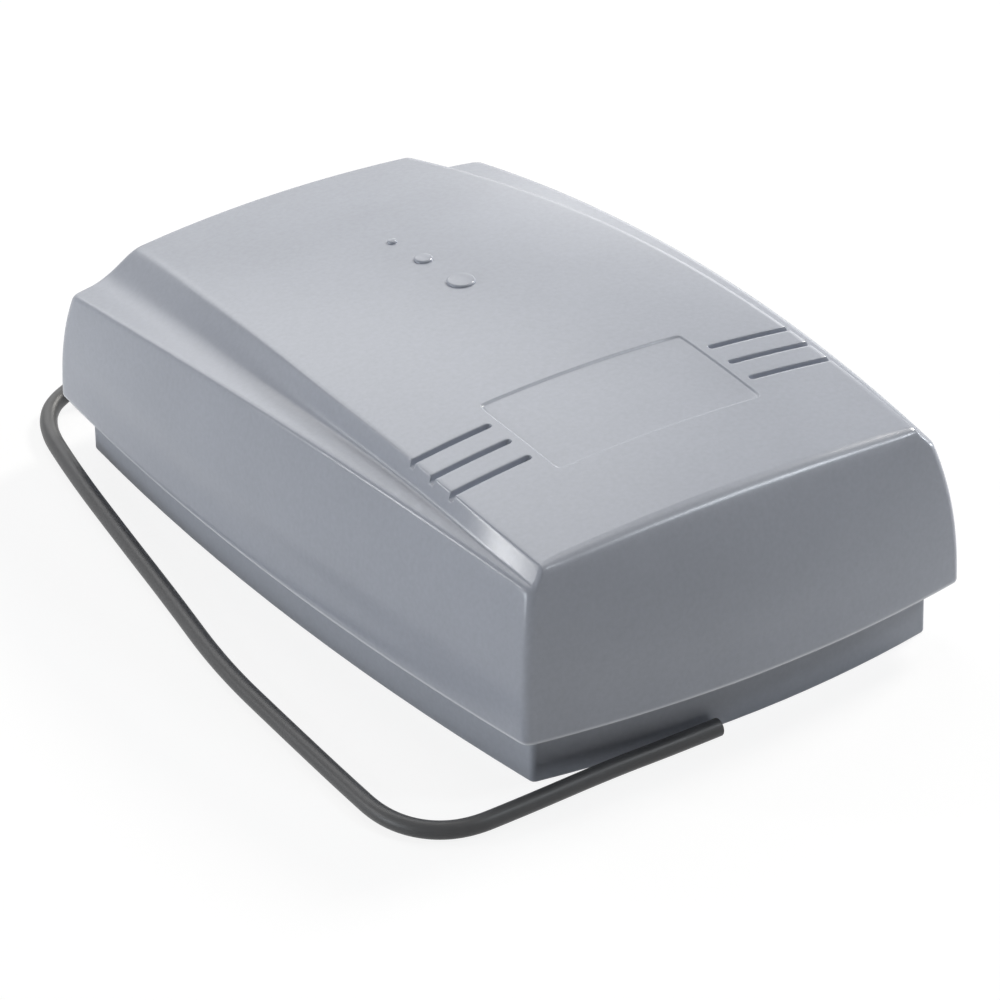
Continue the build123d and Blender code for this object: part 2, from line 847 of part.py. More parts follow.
# Plug-in memory: a socket with eight open slots and the chip that lifts out of it
with BuildPart() as memory_socket:
    with BuildSketch(Plane.XY.offset(board_top)):
        with Locations((memory_x, memory_y)):
            Rectangle(memory_length, socket_width)
            Rectangle(memory_length - socket_rail, chip_width - 2 * socket_rail, mode=Mode.SUBTRACT)
    extrude(amount=socket_height)
    with BuildSketch(Plane.XY.offset(board_top + socket_height)):
        for side in (-1, 1):
            with Locations((memory_x, memory_y + side * (chip_width / 2 + leg_plate / 2))):
                with GridLocations(pin_pitch, 0, memory_pin_count // 2, 1):
                    Rectangle(leg_width + socket_play, leg_plate + socket_play)
    extrude(amount=-socket_depth, mode=Mode.SUBTRACT)
finish(memory_socket.part, "memory_socket")
finish(
    leaded_chip(
        memory_x,
        memory_y,
        board_top + socket_height,
        memory_length,
        chip_width,
        chip_height,
        memory_pin_count,
        socket_depth - socket_play,
    ),
    "memory_chip",
)

# Jumper: a row of posts and the cap that bridges two of them
with BuildPart() as jumper_header:
    with BuildSketch(Plane.XY.offset(board_top)):
        with Locations((jumper_x, jumper_y)):
            Rectangle(jumper_post_count * pin_pitch, pin_pitch)
    extrude(amount=header_base)
    with BuildSketch(Plane.XY.offset(board_top + header_base)):
        with Locations((jumper_x, jumper_y)):
            with GridLocations(pin_pitch, 0, jumper_post_count, 1):
                Rectangle(post_size, post_size)
    extrude(amount=header_post)
finish(jumper_header.part, "jumper_header")

cap_x = jumper_x - pin_pitch / 2
with BuildPart() as jumper_cap:
    with BuildSketch(Plane.XY.offset(board_top + header_base + seat_gap)):
        with Locations((cap_x, jumper_y)):
            Rectangle(2 * pin_pitch - cap_play, pin_pitch)
            with GridLocations(pin_pitch, 0, 2, 1):
                Rectangle(post_size + cap_play, post_size + cap_play, mode=Mode.SUBTRACT)
    extrude(amount=header_post)
finish(jumper_cap.part, "jumper_cap")

# Programming button: switch body, snap dome and the plunger that presses it
dome_bottom = board_top + switch_floor
flange_bottom = dome_bottom + switch_dome_rise
flange_top = flange_bottom + plunger_flange_height
switch_lid = board_top + switch_height - switch_roof
with BuildPart() as program_switch:
    with BuildSketch(Plane.XY.offset(board_top)):
        with Locations((switch_x, switch_y)):
            RectangleRounded(switch_side, switch_side, switch_side / 10)
    extrude(amount=switch_height)
    with BuildSketch(Plane.XY.offset(dome_bottom)):
        with Locations((switch_x, switch_y)):
            Circle(plunger_flange / 2 + plunger_clear)
    extrude(amount=switch_lid - dome_bottom, mode=Mode.SUBTRACT)
    with BuildSketch(Plane.XY.offset(switch_lid)):
        with Locations((switch_x, switch_y)):
            Circle(plunger_diameter / 2 + plunger_clear)
    extrude(amount=switch_roof, mode=Mode.SUBTRACT)
finish(program_switch.part, "program_switch")

with BuildPart() as switch_dome:
    dome_radius = ((plunger_flange / 2) ** 2 + switch_dome_rise**2) / (2 * switch_dome_rise)
    with BuildSketch(Plane.XZ.offset(-switch_y)):
        with BuildLine():
            Line((switch_x, dome_bottom), (switch_x + plunger_flange / 2, dome_bottom))
            RadiusArc(
                (switch_x + plunger_flange / 2, dome_bottom),
                (switch_x, dome_bottom + switch_dome_rise),
                -dome_radius,
            )
            Line((switch_x, dome_bottom + switch_dome_rise), (switch_x, dome_bottom))
        make_face()
    revolve(axis=Axis((switch_x, switch_y, 0), (0, 0, 1)))
finish(switch_dome.part, "switch_dome")

with BuildPart() as program_button:
    with BuildSketch(Plane.XY.offset(flange_bottom)):
        with Locations((switch_x, switch_y)):
            Circle(plunger_flange / 2)
    extrude(amount=plunger_flange_height)
    with BuildSketch(Plane.XY.offset(flange_top)):
        with Locations((switch_x, switch_y)):
            Circle(plunger_diameter / 2)
    extrude(amount=board_top + plunger_top - flange_top)
    fillet(program_button.edges().group_by(Axis.Z)[-1], radius=plunger_diameter / 10)
finish(program_button.part, "program_button")

# Status light
with BuildPart() as status_led:
    with BuildSketch(Plane.XY.offset(board_top)):
        with Locations((led_x, led_y)):
            Circle(led_diameter / 2 + led_flange)
    extrude(amount=led_flange_height)
    with BuildSketch(Plane.XY.offset(board_top + led_flange_height)):
        with Locations((led_x, led_y)):
            Circle(led_diameter / 2)
    extrude(amount=led_height - led_flange_height)
    fillet(status_led.edges().group_by(Axis.Z)[-1], radius=led_diameter * 0.45)
finish(status_led.part, "status_led")

# Power parts
with BuildPart() as buffer_capacitor:
    with BuildSketch(Plane.XY.offset(board_top)):
        with Locations((capacitor_x, capacitor_y)):
            Circle(capacitor_diameter / 2)
    extrude(amount=capacitor_height)
    fillet(buffer_capacitor.edges().group_by(Axis.Z)[-1], radius=capacitor_round)
    groove_z = board_top + capacitor_height / 8
    with BuildSketch(Plane.XZ.offset(-capacitor_y)):
        with Locations((capacitor_x + capacitor_diameter / 2, groove_z)):
            Circle(capacitor_round)
    revolve(axis=Axis((capacitor_x, capacitor_y, 0), (0, 0, 1)), mode=Mode.SUBTRACT)
    with BuildSketch(Plane.XY.offset(board_top + capacitor_height)):
        with Locations((capacitor_x, capacitor_y)):
            Rectangle(capacitor_diameter * 0.7, vent_width)
            Rectangle(vent_width, capacitor_diameter * 0.7)
    extrude(amount=-vent_width, mode=Mode.SUBTRACT)
finish(buffer_capacitor.part, "buffer_capacitor")

with BuildPart() as bridge_rectifier:
    with BuildSketch(Plane.XY.offset(board_top)):
        with Locations((bridge_x, bridge_y)):
            RectangleRounded(bridge_side, bridge_side, bridge_side / 10)
    extrude(amount=bridge_height)
    chamfer(bridge_rectifier.edges().group_by(Axis.Z)[-1], length=bridge_side / 15)
finish(bridge_rectifier.part, "bridge_rectifier")

with BuildPart() as voltage_regulator:
    with BuildSketch(Plane.XY.offset(board_top)):
        with Locations((regulator_x, middle_row_y)):
            Rectangle(regulator_length, regulator_width)
    extrude(amount=regulator_height)
    chamfer(voltage_regulator.edges().group_by(Axis.Z)[-1], length=regulator_height / 5)
    with BuildSketch(Plane.XY.offset(board_top)):
        with Locations((regulator_x, middle_row_y - regulator_width / 2 - regulator_leg / 2)):
            with GridLocations(regulator_length / 3, 0, 3, 1):
                Rectangle(leg_width, regulator_leg)
        with Locations((regulator_x, middle_row_y + regulator_width / 2 + regulator_leg / 2)):
            Rectangle(regulator_length / 2, regulator_leg)
    extrude(amount=leg_plate)
finish(voltage_regulator.part, "voltage_regulator")


def axial_parts(places, body_length, body_diameter):
    """Axial parts along Y, each a barrel on a wire bent down to the board."""
    rise = board_top + body_diameter / 2
    reach = body_length / 2 + lead_reach
    with BuildPart() as group:
        for x, y in places:
            with BuildSketch(Plane.XZ.offset(-y + body_length / 2)):
                with Locations((x, rise)):
                    Circle(body_diameter / 2 - lead_clear)
            extrude(amount=-body_length)
            with BuildLine():
                FilletPolyline(
                    (x, y - reach, board_top),
                    (x, y - reach, rise),
                    (x, y + reach, rise),
                    (x, y + reach, board_top),
                    radius=lead_diameter * 0.8,
                )
            with BuildSketch(Plane.XY.offset(board_top)):
                with Locations((x, y - reach)):
                    Circle(lead_diameter / 2)
            sweep()
    return group.part


resistor_y = board_front_y + resistor_from_front
resistor_x = board_half - resistor_first_from_side
resistor_places = [(resistor_x - number * resistor_step, resistor_y) for number in range(resistor_count)]
resistor_places.append((board_half - pull_up_from_side, board_front_y + pull_up_from_front))
diode_x = board_half - diode_from_side
diode_places = [(diode_x - diode_step, middle_row_y), (diode_x, middle_row_y)]
finish(axial_parts(resistor_places, resistor_length, resistor_diameter), "resistors")
finish(axial_parts(diode_places, diode_length, diode_diameter), "diodes")

transistor_x = board_half - transistor_from_side
transistor_places = [(transistor_x - transistor_step, middle_row_y), (transistor_x, middle_row_y)]

with BuildPart() as transistors:
    with BuildSketch(Plane.XY.offset(board_top)):
        with Locations(*transistor_places):
            Circle(transistor_diameter / 2)
        with Locations(*[(x, y - transistor_diameter / 2) for x, y in transistor_places]):
            Rectangle(transistor_diameter, transistor_diameter / 3, mode=Mode.SUBTRACT)
    extrude(amount=transistor_height)
finish(transistors.part, "transistors")

ceramic_x = board_half - ceramic_from_side
ceramic_y = board_front_y + ceramic_first_from_front
ceramic_places = [(ceramic_x, ceramic_y), (ceramic_x, ceramic_y + ceramic_step)]
ceramic_places.append((board_half - load_capacitor_from_side, board_front_y + load_capacitor_from_front))
with BuildPart() as ceramic_capacitors:
    for x, y in ceramic_places:
        with BuildSketch(Plane.XZ.offset(-y + ceramic_thickness / 2)):
            with Locations((x, board_top + ceramic_diameter / 2)):
                Circle(ceramic_diameter / 2)
            with Locations((x, board_top + ceramic_diameter / 8)):
                Rectangle(ceramic_diameter / 2, ceramic_diameter / 4)
        extrude(amount=-ceramic_thickness)
finish(ceramic_capacitors.part, "ceramic_capacitors")

with BuildPart() as crystal:
    with BuildSketch(Plane.XY.offset(board_top)):
        with Locations((crystal_x, crystal_y)):
            SlotOverall(crystal_length, crystal_width)
    extrude(amount=crystal_flange)
    with BuildSketch(Plane.XY.offset(board_top + crystal_flange)):
        with Locations((crystal_x, crystal_y)):
            SlotOverall(crystal_length - crystal_flange, crystal_width - crystal_flange)
    extrude(amount=crystal_height - crystal_flange)
    fillet(crystal.edges().group_by(Axis.Z)[-1], radius=crystal_flange)
finish(crystal.part, "crystal")

# Radio module: its own small board on a row of posts, a screening can and a coil
radio_bottom = board_top + header_base
radio_top = radio_bottom + radio_board_thickness
radio_header_x = radio_x + radio_width / 2 - pin_pitch / 2
with BuildPart() as radio_board:
    with BuildSketch(Plane.XY.offset(radio_bottom)):
        with Locations((radio_x, radio_y)):
            Rectangle(radio_width, radio_length)
        with Locations((radio_header_x, radio_y)):
            with GridLocations(0, pin_pitch, 1, radio_post_count):
                Rectangle(post_size + cap_play, post_size + cap_play, mode=Mode.SUBTRACT)
    extrude(amount=radio_board_thickness)
finish(radio_board.part, "radio_board")

with BuildPart() as radio_header:
    with BuildSketch(Plane.XY.offset(board_top)):
        with Locations((radio_header_x, radio_y)):
            Rectangle(pin_pitch, radio_post_count * pin_pitch)
    extrude(amount=header_base)
    with BuildSketch(Plane.XY.offset(radio_bottom)):
        with Locations((radio_header_x, radio_y)):
            with GridLocations(0, pin_pitch, 1, radio_post_count):
                Rectangle(post_size, post_size)
    extrude(amount=radio_board_thickness + post_size)
finish(radio_header.part, "radio_header")

shield_y = radio_y - radio_length / 2 + shield_length / 2 + edge_margin
shield_x = radio_x - radio_width / 2 + shield_width / 2 + edge_margin
with BuildPart() as radio_shield:
    with BuildSketch(Plane.XY.offset(radio_top)):
        with Locations((shield_x, shield_y)):
            RectangleRounded(shield_width, shield_length, edge_margin)
    extrude(amount=shield_height)
    fillet(radio_shield.edges().group_by(Axis.Z)[-1], radius=edge_margin / 2)
finish(radio_shield.part, "radio_shield")

coil_y = radio_y + radio_length / 2 - coil_diameter / 2 - edge_margin
with BuildPart() as radio_coil:
    with BuildSketch(Plane.XY.offset(radio_top)):
        with Locations((shield_x, coil_y)):
            Rectangle(coil_diameter, coil_diameter)
    extrude(amount=coil_base)
    with BuildSketch(Plane.XY.offset(radio_top + coil_base)):
        with Locations((shield_x, coil_y)):
            Circle(coil_diameter / 2)
    extrude(amount=coil_height - coil_base)
    with BuildSketch(Plane.XY.offset(radio_top + coil_height)):
        with Locations((shield_x, coil_y)):
            Circle(coil_core / 2)
            Rectangle(coil_core * 2, leg_width, mode=Mode.SUBTRACT)
    extrude(amount=-coil_base, mode=Mode.SUBTRACT)
finish(radio_coil.part, "radio_coil")

# Antenna wire: inside the case it runs over the board into its terminal
wire_radius = wire_diameter / 2
tail_start_y = end_y(wire_x, hollow_inset)
strip_y = antenna_face_y + side_clear
drop_y = board_back_y + tail_bend
with BuildPart() as antenna_wire_tail:
    with BuildLine() as tail_line:
        FilletPolyline(
            (wire_x, strip_y, conductor_z),
            (wire_x, drop_y, conductor_z),
            (wire_x, tail_start_y - tail_bend, wire_exit_z),
            (wire_x, tail_start_y, wire_exit_z),
            radius=tail_bend,
        )
    with BuildSketch(Plane(tail_line.line @ 0, z_dir=tail_line.line % 0)):
        Circle(wire_radius)
    sweep()
finish(antenna_wire_tail.part, "antenna_wire_tail")

with BuildPart() as antenna_conductor:
    with BuildSketch(Plane.XZ.offset(-strip_y)):
        with Locations((wire_x, conductor_z)):
            Circle(conductor_diameter / 2)
    extrude(amount=strip_length)
finish(antenna_conductor.part, "antenna_conductor")

# Antenna wire outside the case: round the corner, along the left side and the front
wire_route = [
    (wire_x, tail_start_y, wire_exit_z),
    (wire_x, 45.2, wire_exit_z),
    (-18.6, 48.4, 1.7),
    (-24.9, 45.4, wire_rest_z),
    (-27.9, 33.6, wire_rest_z),
    (-30.6, 20.0, wire_rest_z),
    (-33.0, 7.4, wire_rest_z),
    (-35.7, -5.5, wire_rest_z),
    (-36.7, -18.0, wire_rest_z),
    (-37.5, -29.0, wire_rest_z),
    (-37.95, -37.4, wire_rest_z),
    (-34.0, -42.2, wire_rest_z),
    (-26.6, -42.1, wire_rest_z),
    (-16.5, -41.5, wire_rest_z),
    (-9.5, -41.8, wire_rest_z),
    (-4.0, -41.7, wire_rest_z),
]


def bend_radii(route):
    """Largest arc for each corner that its two runs allow."""
    radii = []
    for before, here, after in zip(route, route[1:], route[2:]):
        run_in = Vector(*here) - Vector(*before)
        run_out = Vector(*after) - Vector(*here)
        half_turn = radians(run_in.get_angle(run_out) / 2)
        radii.append(0.45 * min(run_in.length, run_out.length) / tan(half_turn))
    return radii


wire_radii = bend_radii(wire_route)
with BuildPart() as antenna_wire:
    with BuildLine() as wire_line:
        FilletPolyline(*wire_route, radius=wire_radii)
    with BuildSketch(Plane(wire_line.line @ 0, z_dir=wire_line.line % 0)):
        Circle(wire_radius)
    sweep()
finish(antenna_wire.part, "antenna_wire")

free_length = wire_line.wire().length
inner_length = tail_line.wire().length + strip_length
section = pi * wire_radius**2
print("wire bend radii", [round(radius, 1) for radius in wire_radii])
print("free wire length", round(free_length, 1), "inside", round(inner_length, 1))
print("wire volume over section times length", antenna_wire.part.volume / section / free_length)
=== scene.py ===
from functools import cache
from math import cos, exp, pi, radians, sin, sqrt

import bmesh
import bpy
from mathutils import Matrix, Vector


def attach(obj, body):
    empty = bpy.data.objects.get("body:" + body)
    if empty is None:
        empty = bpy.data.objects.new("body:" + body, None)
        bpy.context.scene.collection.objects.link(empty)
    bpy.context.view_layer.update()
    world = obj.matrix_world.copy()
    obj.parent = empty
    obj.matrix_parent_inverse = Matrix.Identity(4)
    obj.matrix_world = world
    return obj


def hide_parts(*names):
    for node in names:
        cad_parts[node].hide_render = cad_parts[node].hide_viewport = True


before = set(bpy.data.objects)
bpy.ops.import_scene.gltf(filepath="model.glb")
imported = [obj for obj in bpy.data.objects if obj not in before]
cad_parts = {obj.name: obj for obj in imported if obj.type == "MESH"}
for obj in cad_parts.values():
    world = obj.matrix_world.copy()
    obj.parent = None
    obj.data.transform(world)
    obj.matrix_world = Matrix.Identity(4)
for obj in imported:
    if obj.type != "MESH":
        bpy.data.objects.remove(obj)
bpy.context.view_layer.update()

MM = 0.001
scene = bpy.context.scene
scene.view_settings.view_transform = "Standard"


# Camera, at the photograph's viewing angle
VIEW_AZIMUTH = radians(-34.2069)
VIEW_ELEVATION = radians(30.3326)
VIEW_ROLL = radians(-0.9379)
VIEW_DISTANCE = 641.373 * MM
VIEW_LENS = 238.05
AIM_HEIGHT = 10.0 * MM
AIM_RIGHT = 0.2187 * MM
AIM_UP = -4.943 * MM
SENSOR_WIDTH = 36
CLIP_START = 0.01
CLIP_END = 20


def add_camera():
    a, e, roll = VIEW_AZIMUTH, VIEW_ELEVATION, VIEW_ROLL
    back = Vector((sin(a) * cos(e), -cos(a) * cos(e), sin(e)))
    level = Vector((cos(a), sin(a), 0))
    upright = back.cross(level)
    right = cos(roll) * level + sin(roll) * upright
    up = cos(roll) * upright - sin(roll) * level
    place = Vector((0, 0, AIM_HEIGHT)) + AIM_RIGHT * right + AIM_UP * up + VIEW_DISTANCE * back
    data = bpy.data.cameras.new("camera")
    data.lens = VIEW_LENS
    data.sensor_width = SENSOR_WIDTH
    data.clip_start = CLIP_START
    data.clip_end = CLIP_END
    camera = bpy.data.objects.new("camera", data)
    camera.matrix_world = Matrix((right, up, back)).transposed().to_4x4()
    camera.location = place
    scene.collection.objects.link(camera)
    scene.camera = camera


add_camera()


# Shader maths: a socket that Python's operators work on, and one method that makes nodes
class Value:
    """A socket of a node tree. Operators on it add Math nodes."""

    def __init__(self, nodes, socket):
        self.nodes = nodes
        self.socket = socket

    def math(self, operation, *values):
        return self.nodes.make("Math", {"operation": operation}, dict(enumerate(values)))

    def __add__(self, other):
        return self.math("ADD", self, other)

    def __radd__(self, other):
        return self.math("ADD", other, self)

    def __sub__(self, other):
        return self.math("SUBTRACT", self, other)

    def __rsub__(self, other):
        return self.math("SUBTRACT", other, self)

    def __mul__(self, other):
        return self.math("MULTIPLY", self, other)

    def __abs__(self):
        return self.math("ABSOLUTE", self)

    def __gt__(self, other):
        return self.math("GREATER_THAN", self, other)

    def __lt__(self, other):
        return self.math("LESS_THAN", self, other)

    def __mod__(self, other):
        return self.math("FLOORED_MODULO", self, other)

    def most(self, other):
        return self.math("MAXIMUM", self, other)

    def root(self):
        return self.math("SQRT", self)

    def between(self, low, high):
        """0 at low, 1 at high, straight between them and level beyond."""
        inputs = {"Value": self, "From Min": low, "From Max": high}
        return self.nodes.make("MapRange", {"clamp": True}, inputs)


class Nodes:
    """A node tree in the making."""

    def __init__(self, owner):
        owner.use_nodes = True
        self.owner = owner
        self.tree = owner.node_tree
        self.tree.nodes.clear()

    def make(self, kind, settings=None, inputs=None, output=0):
        made = self.tree.nodes.new("ShaderNode" + kind)
        for key, value in (settings or {}).items():
            setattr(made, key, value)
        for key, value in (inputs or {}).items():
            if isinstance(value, Value):
                self.tree.links.new(value.socket, made.inputs[key])
            else:
                made.inputs[key].default_value = value
        return Value(self, made.outputs[output]) if made.outputs else made

    def place(self):
        return self.make("TexCoord", output="Object")

    def axes(self):
        """The three Object coordinates, in millimetres."""
        return [self.make("SeparateXYZ", None, {0: self.place()}, axis) * 1000 for axis in "XYZ"]

    def noise(self, size, detail=2.0, roughness=0.5, stretch=(1, 1, 1)):
        """Noise from 0 to 1 with features of about a size in millimetres."""
        where = self.make("Mapping", None, {"Vector": self.place(), "Scale": stretch})
        inputs = {"Vector": where, "Scale": 1 / (size * MM), "Detail": detail, "Roughness": roughness}
        return self.make("TexNoise", None, inputs)

    def mix(self, share, first, second):
        """A colour between two colours."""
        return self.make("Mix", {"data_type": "RGBA"}, {0: share, 6: first, 7: second}, 2)

    def bump(self, height, depth, strength=1.0):
        inputs = {"Height": height, "Distance": depth * MM, "Strength": strength}
        return self.make("Bump", None, inputs)

    def surface(self, **sockets):
        """Ends the tree with one shader, whose sockets are named in small letters."""
        inputs = {}
        for key, value in sockets.items():
            inputs[key.replace("_", " ").title().replace("Ior", "IOR")] = value
        shader = self.make("BsdfPrincipled", None, inputs)
        self.make("OutputMaterial", None, {"Surface": shader})
        return self.owner


def finish_nodes(name):
    return Nodes(bpy.data.materials.new(name))


def tone(color, factor=1.0):
    return (color[0] * factor, color[1] * factor, color[2] * factor, 1.0)


def moulded(name, color, roughness=0.5, grain=0.22, depth=0.012, specular=0.4, painted_light=None):
    """Moulded plastic: fine spark grain, a little mottling and uneven gloss, and painted light on the
    colour where a function for it is given.
    """
    n = finish_nodes(name)
    fine = n.noise(grain, 3.0, 0.6)
    broad = n.noise(14.0)
    speck = n.noise(grain * 2.2, 1.0)
    mottle = (broad + speck).between(0.6, 1.4)
    mottled = n.mix(mottle, tone(color, 0.95), tone(color, 1.05))
    return n.surface(
        base_color=painted_light(n, mottled) if painted_light else mottled,
        roughness=roughness + (broad - 0.5) * 0.1 + (fine - 0.5) * 0.06,
        specular_ior_level=specular,
        normal=n.bump(fine, depth, 0.6),
    )


def lip_painted_highlight(n, color):
    """The cover's colour with a painted highlight: lighter along the bottom edge of its lip, where the
    lip's round catches the light.
    """
    highlit = 1 - n.axes()[2].between(LIP + LIP_HIGHLIGHT_FULL, LIP + LIP_HIGHLIGHT_END)
    return n.mix(highlit, color, tone(LIP_HIGHLIGHT_COLOR))


def plated(name, color, roughness=0.3, grain=0.5, stretch=(1, 6, 1)):
    """Plated or rolled metal with fine scratches and a clouded shine."""
    n = finish_nodes(name)
    scratch = n.noise(grain, 4.0, 0.7, stretch)
    cloud = n.noise(3.0)
    return n.surface(
        base_color=n.mix(cloud, tone(color, 0.84), tone(color, 1.1)),
        metallic=1.0,
        roughness=roughness + (scratch - 0.5) * 0.16 + (cloud - 0.5) * 0.1,
        normal=n.bump(scratch, 0.004, 0.4),
    )


# Roughness of a two-part finish
BODY_GLOSS = 0.45
METAL_GLOSS = 0.28


def two_part(name, mask, body, metal, bands=()):
    """A moulded body with metal where the mask says, and bands of other colours on the body."""
    n = finish_nodes(name)
    share = mask(*n.axes())
    fine = n.noise(0.2, 3.0, 0.6)
    cloud = n.noise(2.5)
    color = n.mix(cloud, tone(body, 0.85), tone(body, 1.15))
    for band, tint in bands:
        color = n.mix(band(*n.axes()), color, tone(tint))
    return n.surface(
        base_color=n.mix(share, color, n.mix(cloud, tone(metal, 0.85), tone(metal, 1.1))),
        metallic=share,
        roughness=share * (METAL_GLOSS - BODY_GLOSS) + BODY_GLOSS + (fine - 0.5) * 0.1,
        normal=n.bump(fine, 0.008, 0.5),
    )


# Case sizes in millimetres. The panel, the risers and the rounds of the top follow the photograph.
HALF_W = 25.05
HALF_L = 40.6
BOW = 2.4
LIP = 5.9
LEAN_TOP = 26.0
LEAN_POWER = 2.4
FRONT_LEAN = 3.5
BACK_LEAN = 7.0
SIDE_LEAN_FRONT = 3.9
SIDE_LEAN_BACK = 2.1
SIDE_BOW_TOP = 2.0
FRONT_BOW_TOP = -0.25
BACK_BOW_TOP = 2.2
WAIST_UP = 3.7
WAIST_TUCK = 0.3
WAIST_SPREAD = 2.0
CROWN_TOP = 25.49
CROWN_RADIUS = 262.0
CROWN_Y = -6.3
SHOULDER_TOP = 23.2
SHOULDER_RADIUS = 294.0
SHOULDER_Y = -11.4
STATION_YS = (-38.5, -30.0, -15.0, 0.0, 20.0, 38.0)
PANEL_HALF = (21.18, 21.46, 21.5, 20.95, 18.9, 16.4)
RISER_RUN = (1.5, 1.4, 1.05, 1.9, 4.5, 5.6)
RISER_HEAD = (0.12, 0.15, 0.16, 0.16, 0.2, 0.28)
RISER_FOOT = (0.12, 0.2, 0.6, 0.68, 0.74, 0.66)
FAR_TUCK = 1.4
FAR_TUCK_FROM = 8.0
CORNER = 0.75
CREASE = 0.5
END_CREASE = 1.05
END_CREASE_FROM = 4.0
LIP_ROUND = 0.3
# Heights above the lip's bottom where its painted highlight is full and where it has faded out
LIP_HIGHLIGHT_FULL = 0.25
LIP_HIGHLIGHT_END = 0.5
LIP_INSIDE = 0.5
SHOULDER_LEAST = 0.3
WALL = 1.7
ROOF = 1.9
MARK_BOW = 564.0
LABEL_HALF = 11.6
LABEL_BACK = -13.8
LABEL_LENGTH = 13.0
LABEL_CORNER = 0.6
LABEL_DEPTH = 0.18
LABEL_SOFT = 0.16
GROOVE_ROWS = (-17.1, -20.35, -23.6)
GROOVE_IN = 12.9
GROOVE_OUT = 22.4
GROOVE_HALF = 0.33
GROOVE_DEPTH = 0.6
EDGE_SOFT = 0.06


def by_station(values, y):
    """A value that runs smoothly through its stations along the length."""
    last = len(values) - 1
    y = min(max(y, STATION_YS[0]), STATION_YS[-1])
    k = max(number for number in range(last) if STATION_YS[number] <= y)
    slopes = []
    for number in (k, k + 1):
        before, after = max(number - 1, 0), min(number + 1, last)
        slopes.append((values[after] - values[before]) / (STATION_YS[after] - STATION_YS[before]))
    run = STATION_YS[k + 1] - STATION_YS[k]
    t = (y - STATION_YS[k]) / run
    ends = values[k] * (1 + 2 * t) * (1 - t) ** 2 + values[k + 1] * (3 - 2 * t) * t * t
    return ends + run * (slopes[0] * t * (1 - t) ** 2 - slopes[1] * t * t * (1 - t))


def panel_edge(side, y):
    """Half width of the raised panel. Its far edge draws in a little more towards the back."""
    half = by_station(PANEL_HALF, y)
    if side > 0 and y > FAR_TUCK_FROM:
        half -= FAR_TUCK * ((y - FAR_TUCK_FROM) / (STATION_YS[-1] - FAR_TUCK_FROM)) ** 2
    return half


def leaned(z):
    return (max(z - LIP, 0) / (LEAN_TOP - LIP)) ** LEAN_POWER


def flattened(z):
    return (max(z - LIP, 0) / (LEAN_TOP - LIP)) ** 2


def corner_width(z, end):
    return HALF_W - (SIDE_LEAN_FRONT if end < 0 else SIDE_LEAN_BACK) * leaned(z)


def corner_length(z, end):
    return HALF_L - (FRONT_LEAN if end < 0 else BACK_LEAN) * leaned(z)


def waist(z, t):
    """How far a wall is drawn in above the lip, at a place t from -1 to 1 along it."""
    return WAIST_TUCK * exp(-(((z - LIP - WAIST_UP) / WAIST_SPREAD) ** 2)) * max(1 - t * t, 0)


def end_bow(z, end):
    return BOW + ((FRONT_BOW_TOP if end < 0 else BACK_BOW_TOP) - BOW) * flattened(z)


def end_length(x, z, end):
    """Distance from the middle to an end wall."""
    t = x / corner_width(z, end)
    return corner_length(z, end) + end_bow(z, end) * (1 - t * t) - 0.5 * waist(z, t)


def along(y, z):
    """Place along the side wall, from -1 at the front corner to 1 at the back corner."""
    front, back = corner_length(z, -1), corner_length(z, 1)
    return (2 * y - back + front) / (back + front)


def side_width(y, z):
    """Distance from the middle to the side wall."""
    t = along(y, z)
    bow = BOW + (SIDE_BOW_TOP - BOW) * flattened(z)
    front, back = corner_width(z, -1), corner_width(z, 1)
    return (front + back) / 2 + (back - front) / 2 * t + bow * (1 - t * t) - waist(z, t)


def crown(x, y):
    return CROWN_TOP - CROWN_RADIUS + sqrt(CROWN_RADIUS**2 - x * x - (y - CROWN_Y) ** 2)


def shoulder(x, y):
    return SHOULDER_TOP - SHOULDER_RADIUS + sqrt(SHOULDER_RADIUS**2 - x * x - (y - SHOULDER_Y) ** 2)


def soft_step(t, start, end):
    """From 0 to 1 as t does, with a round start and a round end that take those shares."""
    rate = 1 / (1 - start / 2 - end / 2)
    if t < start:
        return rate * t * t / (2 * start)
    if t > 1 - end:
        return 1 - rate * (1 - t) ** 2 / (2 * end)
    return rate * (t - start / 2)


def roof_z(x, y):
    """Height of the cover's top, without its marks."""
    t = (abs(x) - panel_edge(x, y)) / by_station(RISER_RUN, y)
    if t <= 0:
        return crown(x, y)
    if t >= 1:
        return shoulder(x, y)
    drop = soft_step(t, by_station(RISER_HEAD, y), by_station(RISER_FOOT, y))
    return crown(x, y) * (1 - drop) + shoulder(x, y) * drop


def sunk(outside, soft):
    """Share of a mark's depth at a distance outside its edge, which slopes over twice the soft width."""
    return soft_step(min(max((soft - outside) / (2 * soft), 0), 1), 0.4, 0.4)


def marked_z(x, y):
    """Height of the cover's top with the label place and the grooves."""
    z = roof_z(x, y)
    row = y + x * x / MARK_BOW
    past_x = abs(x) - LABEL_HALF + LABEL_CORNER
    past_y = abs(row - LABEL_BACK + LABEL_LENGTH / 2) - LABEL_LENGTH / 2 + LABEL_CORNER
    beyond = sqrt(max(past_x, 0) ** 2 + max(past_y, 0) ** 2) + min(max(past_x, past_y), 0)
    z -= LABEL_DEPTH * sunk(beyond - LABEL_CORNER, LABEL_SOFT)
    for centre in GROOVE_ROWS:
        past = max(GROOVE_IN - abs(x), abs(x) - GROOVE_OUT, 0)
        share = sunk(sqrt(past**2 + (row - centre) ** 2) - GROOVE_HALF, EDGE_SOFT)
        if share > 0:
            z += (min(z, crown(x, y) - GROOVE_DEPTH) - z) * share
    return z


